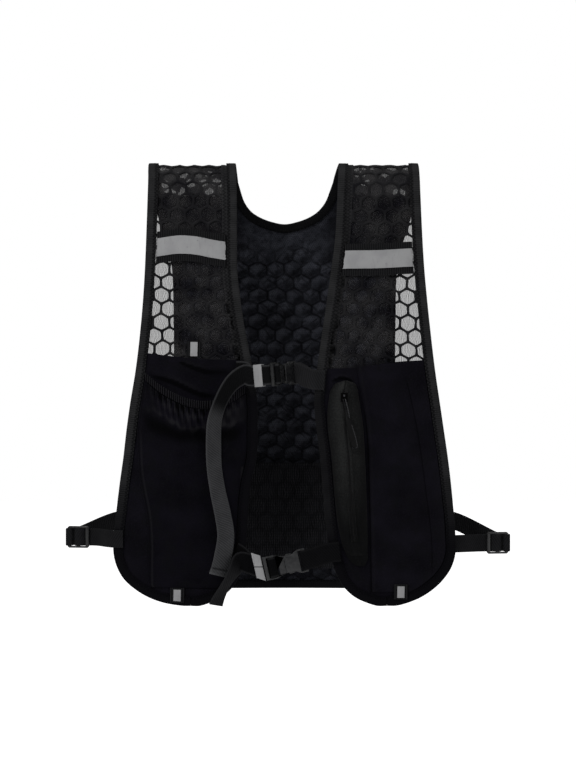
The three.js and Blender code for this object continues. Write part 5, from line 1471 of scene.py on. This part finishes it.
def around_bar(buckle, ends):
    """A doubled strap from where it is sewn, around the bar of a sleeve and back beside itself."""
    bar = BUCKLE_END - BAR / 2
    radius = math.hypot(BAR / 2, BUCKLE_WALL / 2 + 2 * GAP) + GAP + WEBBING_WALL / 2
    x, y, _ = buckle.axes.T @ (ends[0][:3] - buckle.centre)
    heading = math.atan2(y, x - bar)
    tangent = math.acos(radius / math.hypot(x - bar, y))
    loop = [buckle.row(bar + radius * math.cos(a), radius * math.sin(a))
            for a in np.linspace(heading + tangent, heading + 2 * math.pi - tangent, 8)]
    apart = np.array([0, -WEBBING_WALL / 2 - GAP, 0, 0, 0, 0])
    if (buckle.axes @ (-math.sin(heading), math.cos(heading), 0))[1] > 0:
        apart = -apart
    first, last = ([end + apart * sign * (1 if i else 1.3) for i, end in enumerate(ends)] for sign in (1, -1))

    def straight(end, station):
        way = (end - station)[:3]
        way /= np.linalg.norm(way)
        way -= buckle.axes[:, 2] * np.dot(way, buckle.axes[:, 2])
        return np.concatenate([station[:3] + way * BUCKLE_WALL * 2, station[3:]])

    return [*first[::-1], straight(first[0], loop[0]), *loop, straight(last[0], loop[-1]), *last]


chest = Held(place_of(-0.006, 0.5, 9), 57, 5)
TAIL_X = -BUCKLE_END - 1.1 - WEBBING_WALL - GAP
chest_left = [
    laid(-0.285, 0.494, SEWN_LIFT), laid(-0.235, 0.495, SEWN_LIFT),
    chest.row(-BUCKLE_END - 1.1, 21.6), chest.row(-BUCKLE_END - 1.1, 18), chest.row(-BUCKLE_END - 1.1, 7),
    chest.row(-BUCKLE_END - 0.4, 5), chest.row(-BUCKLE_END + 1.5, STRAND_FAR), *through_ladder(chest),
    chest.row(-BUCKLE_END + BAR - 1.2, STRAND_NEAR), chest.row(-BUCKLE_END + 0.6, STRAND_NEAR),
    chest.row(-BUCKLE_END - 1.5, STRAND_NEAR + 0.9), chest.row(-BUCKLE_END - 2.5, 5.5),
    chest.row(TAIL_X, 7.4), chest.row(TAIL_X, 17.6), chest.row(TAIL_X - 1.3, 20.8),
    *free_tail([
        (-0.222, 0.503, 0.72, -10, 8), (-0.265, 0.51, 0.82, -22, 22), (-0.305, 0.522, 0.9, -38, 34),
        (-0.345, 0.542, 0.97, -52, 44), (-0.38, 0.568, 1, -66, 48), (-0.405, 0.6, 0.99, -80, 45),
        (-0.412, 0.645, 0.97, -90, 43), (-0.41, 0.695, 0.93, -95, 42), (-0.388, 0.75, 0.86, -100, 41),
        (-0.36, 0.8, 0.78, -103, 37), (-0.342, 0.845, 0.68, -92, 32), (-0.355, 0.885, 0.62, -76, 28),
        (-0.375, 0.915, 0.6, -68, 28), (-0.39, 0.932, 0.6, -66, 28)])]
chest_right = around_bar(chest, [laid(0.158, 0.512, PAIR_LIFT + 0.9), laid(0.235, 0.514, PAIR_LIFT)])

lower = Held(place_of(0.006, 0.909, 10), 0, 13)
LOWER_SLOPE = 0.6
lower_left = [
    laid(-0.3, 0.882, SEWN_LIFT, 28), laid(-0.262, 0.891, SEWN_LIFT, 30),
    lower.row(-BUCKLE_END - 15.4, STRAND_FAR, 16 * LOWER_SLOPE),
    lower.row(-BUCKLE_END - 11, STRAND_FAR, 11.6 * LOWER_SLOPE),
    lower.row(-BUCKLE_END + 0.6, STRAND_FAR), *through_ladder(lower),
    lower.row(-BUCKLE_END + 0.2, STRAND_NEAR),
    lower.row(-BUCKLE_END - 10.6, STRAND_NEAR, 11.2 * LOWER_SLOPE),
    lower.row(-BUCKLE_END - 14, STRAND_NEAR - 1.6, 14.6 * LOWER_SLOPE),
    *free_tail([
        (-0.26, 0.902, 0.46, -12, 18), (-0.285, 0.918, 0.57, -32, 42), (-0.318, 0.938, 0.62, -48, 62),
        (-0.352, 0.957, 0.58, -56, 64), (-0.385, 0.98, 0.56, -60, 55), (-0.402, 0.997, 0.56, -62, 48)])]
lower_right = around_bar(lower, [laid(0.25, 0.886, PAIR_LIFT, -8), laid(0.325, 0.882, PAIR_LIFT, -6)])

ROUTES = {"chest_strap_left": chest_left, "chest_strap_right": chest_right,
          "lower_strap_left": lower_left, "lower_strap_right": lower_right}
for name, side, reach, down, lift in (("left", -1, 206, 0.858, SEWN_LIFT),
                                      ("right", 1, 212.5, 0.871, UNDER_LIFT)):
    _, y, z = place_of(side, down, 0)
    lock = Held(np.array([side * (reach - LOCK_END), y + LOCK_FORWARD, z]), side * LOCK_TURN)
    slit = LOCK_END - BAR
    ROUTES[f"side_strap_front_{name}"] = [
        laid(side * 0.955, down, lift), laid(side * 1.02, down, lift), *(lock.row(side * x, y) for x, y in (
            (-LOCK_END - 6, STRAND_NEAR), (0.2 - slit, STRAND_NEAR + 0.15), (1.8 - slit, 0.9),
            (-BAR / 2 - 1.6, -1.3), (-BAR / 2, -STRAND_NEAR), (BAR / 2, -STRAND_NEAR), (BAR / 2 + 1.35, -1.2),
            (BAR / 2 + 1.4, 0.9), (BAR / 2 + 0.4, STRAND_NEAR + 0.5), (-BAR / 2, STRAND_NEAR + 1.6),
            (-LOCK_END - 1, STRAND_NEAR + 1.7)))]
    ROUTES[f"side_strap_back_{name}"] = [
        laid(side * 0.7, -0.835, BACK_LIFT), laid(side * 0.85, -0.838, BACK_LIFT),
        laid(side * 1.02, -0.845, PAD, side * 6), *(lock.row(side * x, y) for x, y in (
            (LOCK_END - 4, 16), (LOCK_END + 1, 6), (LOCK_END + 1.1, 1.2), (LOCK_END + 1.1, -1.3),
            (LOCK_END + 0.2, -STRAND_NEAR - 0.1), (slit - 0.2, -STRAND_NEAR - 0.1), (slit - 1.1, -1.2),
            (slit - 1.1, 1.2), (slit - 0.7, 4.2), (slit - 3, 12)))]


def strap(node, width, material, seed, flutter=0.0, dark_until=0.0, hem=0.0):
    """Webbing through its route, with rounded edges, a slight ripple and a folded hem at its end."""
    route = np.array(ROUTES[node])
    chords = np.vstack([route[1] - route[0], route[2:] - route[:-2], route[-1] - route[-2]])[:, :3]
    route[:, 3:] = square_to(unit(chords), route[:, 3:])
    line = even(route, 1.1, 10)
    points, run = line[:, :3], run_of(line[:, :3])
    way = unit(np.gradient(points, run, axis=0))
    side = square_to(way, line[:, 3:])
    out = np.cross(way, side)
    phase = dips(seed, 3, 0, 6.28)
    ends = ease(run, 0, 12) * ease(run[-1] - run, 0, 12)
    fold = ease(run, run[-1] - hem - 1.2, run[-1] - hem) if hem else run * 0
    lip = fold * (0.35 + 0.65 * ease(run, run[-1] - 2.2, run[-1] - 1.2))
    # Painted shade along the run up to dark_until and along the hem's fold; the folded end is lighter.
    shaded = 10 * (1 - ease(run, dark_until - 14, dark_until + 14)) if dark_until else run * 0
    marks = np.stack([shaded + 0.9 * line_at(run - run[-1] + hem + 1.0, 0.9) * bool(hem), 10 * lip], 1)
    sections, plane = [], []
    upper = [(-1, 0.0), (-0.97, 0.75), (-0.86, 1.0), (-0.5, 1.0), (0, 1.0), (0.5, 1.0), (0.86, 1.0),
             (0.97, 0.75), (1, 0.0)]
    for a, b in upper + [(a, -b) for a, b in upper[-2:0:-1]]:
        wave = flutter * ends * (np.sin(run / 9 + phase[0] + a) * a + 0.5 * np.sin(run / 15 + phase[1]))
        raised = b * SHOWN_WALL / 2 * (1 + 0.9 * fold) + wave
        sections.append((points + side * (a * width / 2) + out * raised[:, None]) * 0.001)
        plane.append(np.stack([run, np.full(len(run), a * width / 2 + (0.001 if b < 0 else 0))], 1))
    drawn(f"{node}_webbing", sections, material, "webbing", node, plane,
          ("side", np.repeat(marks, len(sections), axis=0)))


strap("chest_strap_left", WEBBING, tail_webbing, 20, flutter=0.25, dark_until=138.0, hem=5.0)
strap("chest_strap_right", WEBBING, dark_webbing, 21)
strap("lower_strap_left", WEBBING, dark_webbing, 22, flutter=0.25, dark_until=96.0)
strap("lower_strap_right", WEBBING, black_webbing, 23)
for seed, node in enumerate(list(ROUTES)[4:], 24):
    strap(node, SIDE_WEBBING, side_webbing, seed)


# Buckles and locks: the solid's own shape with its edges rounded


def rounded_copy(name, node, material, bevel=0.35):
    """A merged copy of a moulded part with softly rounded edges."""
    made = bmesh.new()
    made.from_mesh(nodes[node].data)
    bmesh.ops.remove_doubles(made, verts=made.verts, dist=1e-6)
    bmesh.ops.dissolve_limit(made, angle_limit=math.radians(4), verts=made.verts, edges=made.edges)
    mesh = bpy.data.meshes.new(name)
    made.to_mesh(mesh)
    made.free()
    obj = bpy.data.objects.new(name, mesh)
    bpy.context.scene.collection.objects.link(obj)
    rounding = obj.modifiers.new("Rounding", "BEVEL")
    rounding.width, rounding.segments, rounding.limit_method = bevel * 0.001, 3, "ANGLE"
    rounding.angle_limit = math.radians(28)
    bpy.context.view_layer.objects.active = obj
    obj.select_set(True)
    bpy.ops.object.modifier_apply(modifier=rounding.name)
    bpy.ops.object.shade_smooth_by_angle(angle=math.radians(35))
    obj.select_set(False)
    belongs(obj, material, node)
    return obj


for node, material in (("chest_buckle_ladder", nylon), ("chest_buckle_sleeve", nylon),
                       ("lower_buckle_ladder", nylon_light), ("lower_buckle_sleeve", nylon_light),
                       ("side_lock_left", nylon), ("side_lock_right", nylon)):
    rounded_copy(f"{node}_moulding", node, material)

for node, material in (("chest_keeper", silver_tape), ("lower_keeper", keeper_tape)):
    keeper = rounded_copy(f"{node}_loop", node, material, 0.2)
    lay_flat(keeper)
    lowest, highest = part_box(node)
    gaps = [(v.co.z - (lowest[2] + highest[2]) / 2) * 1000 for v in keeper.data.vertices]
    lay_out(keeper.data, "gap", np.stack([gaps, gaps], 1))


# Floor, lights and camera
VIEW_DISTANCE, VIEW_HEIGHT, VIEW_MIDDLE = 2.6, 0.7296, (0.0033, -0.2065)
SENSOR = 36

bpy.ops.mesh.primitive_plane_add(size=14, location=(0, 0, -0.62))
ground = bpy.context.object
ground.name = "floor"
paper = Finish("Pale floor", roughness=0.9, specular=0.0, on_cloth=False)
paper.colour((0.9, 0.9, 0.9))
paper.put((1, 1, 1), paper.shader.inputs["Emission Color"])
seen = paper.node("ShaderNodeLightPath").outputs["Is Camera Ray"]
paper.put(paper.math("MULTIPLY_ADD", seen, 0.9, 0.1), paper.shader.inputs["Emission Strength"])
ground.data.materials.append(paper.material)
ground.select_set(False)

world = bpy.data.worlds.new("Studio")
bpy.context.scene.world = world
world.use_nodes = True
world.node_tree.nodes.clear()
w = Wires(world.node_tree)
glows = []
for strength in (0.2, 1.0):
    glow = w.node("ShaderNodeBackground")
    w.put((1, 1, 1), glow.inputs["Color"])
    w.put(strength, glow.inputs["Strength"])
    glows.append(glow.outputs[0])
seen = w.node("ShaderNodeLightPath").outputs["Is Camera Ray"]
w.put(w.fill(w.node("ShaderNodeMixShader"), (seen, *glows)), w.node("ShaderNodeOutputWorld").inputs[0])

for name, place, size, watts in (("key", (-1.1, -1.7, 0.9), 0.9, 17), ("fill", (1.5, -1.8, 0.1), 1.4, 5.5),
                                 ("top", (0.2, 0.1, 1.6), 1.2, 9)):
    lamp = bpy.data.lights.new(name, "AREA")
    lamp.shape, lamp.size, lamp.energy = "SQUARE", size, watts
    stand = bpy.data.objects.new(name, lamp)
    bpy.context.scene.collection.objects.link(stand)
    stand.location = place
    stand.rotation_euler = (Vector((0, 0, -0.2)) - Vector(place)).to_track_quat("-Z", "Y").to_euler()

camera = bpy.data.objects.new("camera", bpy.data.cameras.new("camera"))
bpy.context.scene.collection.objects.link(camera)
camera.location = (VIEW_MIDDLE[0], -VIEW_DISTANCE, VIEW_MIDDLE[1])
camera.rotation_euler = (math.radians(90), 0, 0)
camera.data.sensor_width = SENSOR
camera.data.lens = SENSOR * VIEW_DISTANCE / VIEW_HEIGHT
bpy.context.scene.camera = camera
bpy.context.scene.view_settings.view_transform = "Standard"
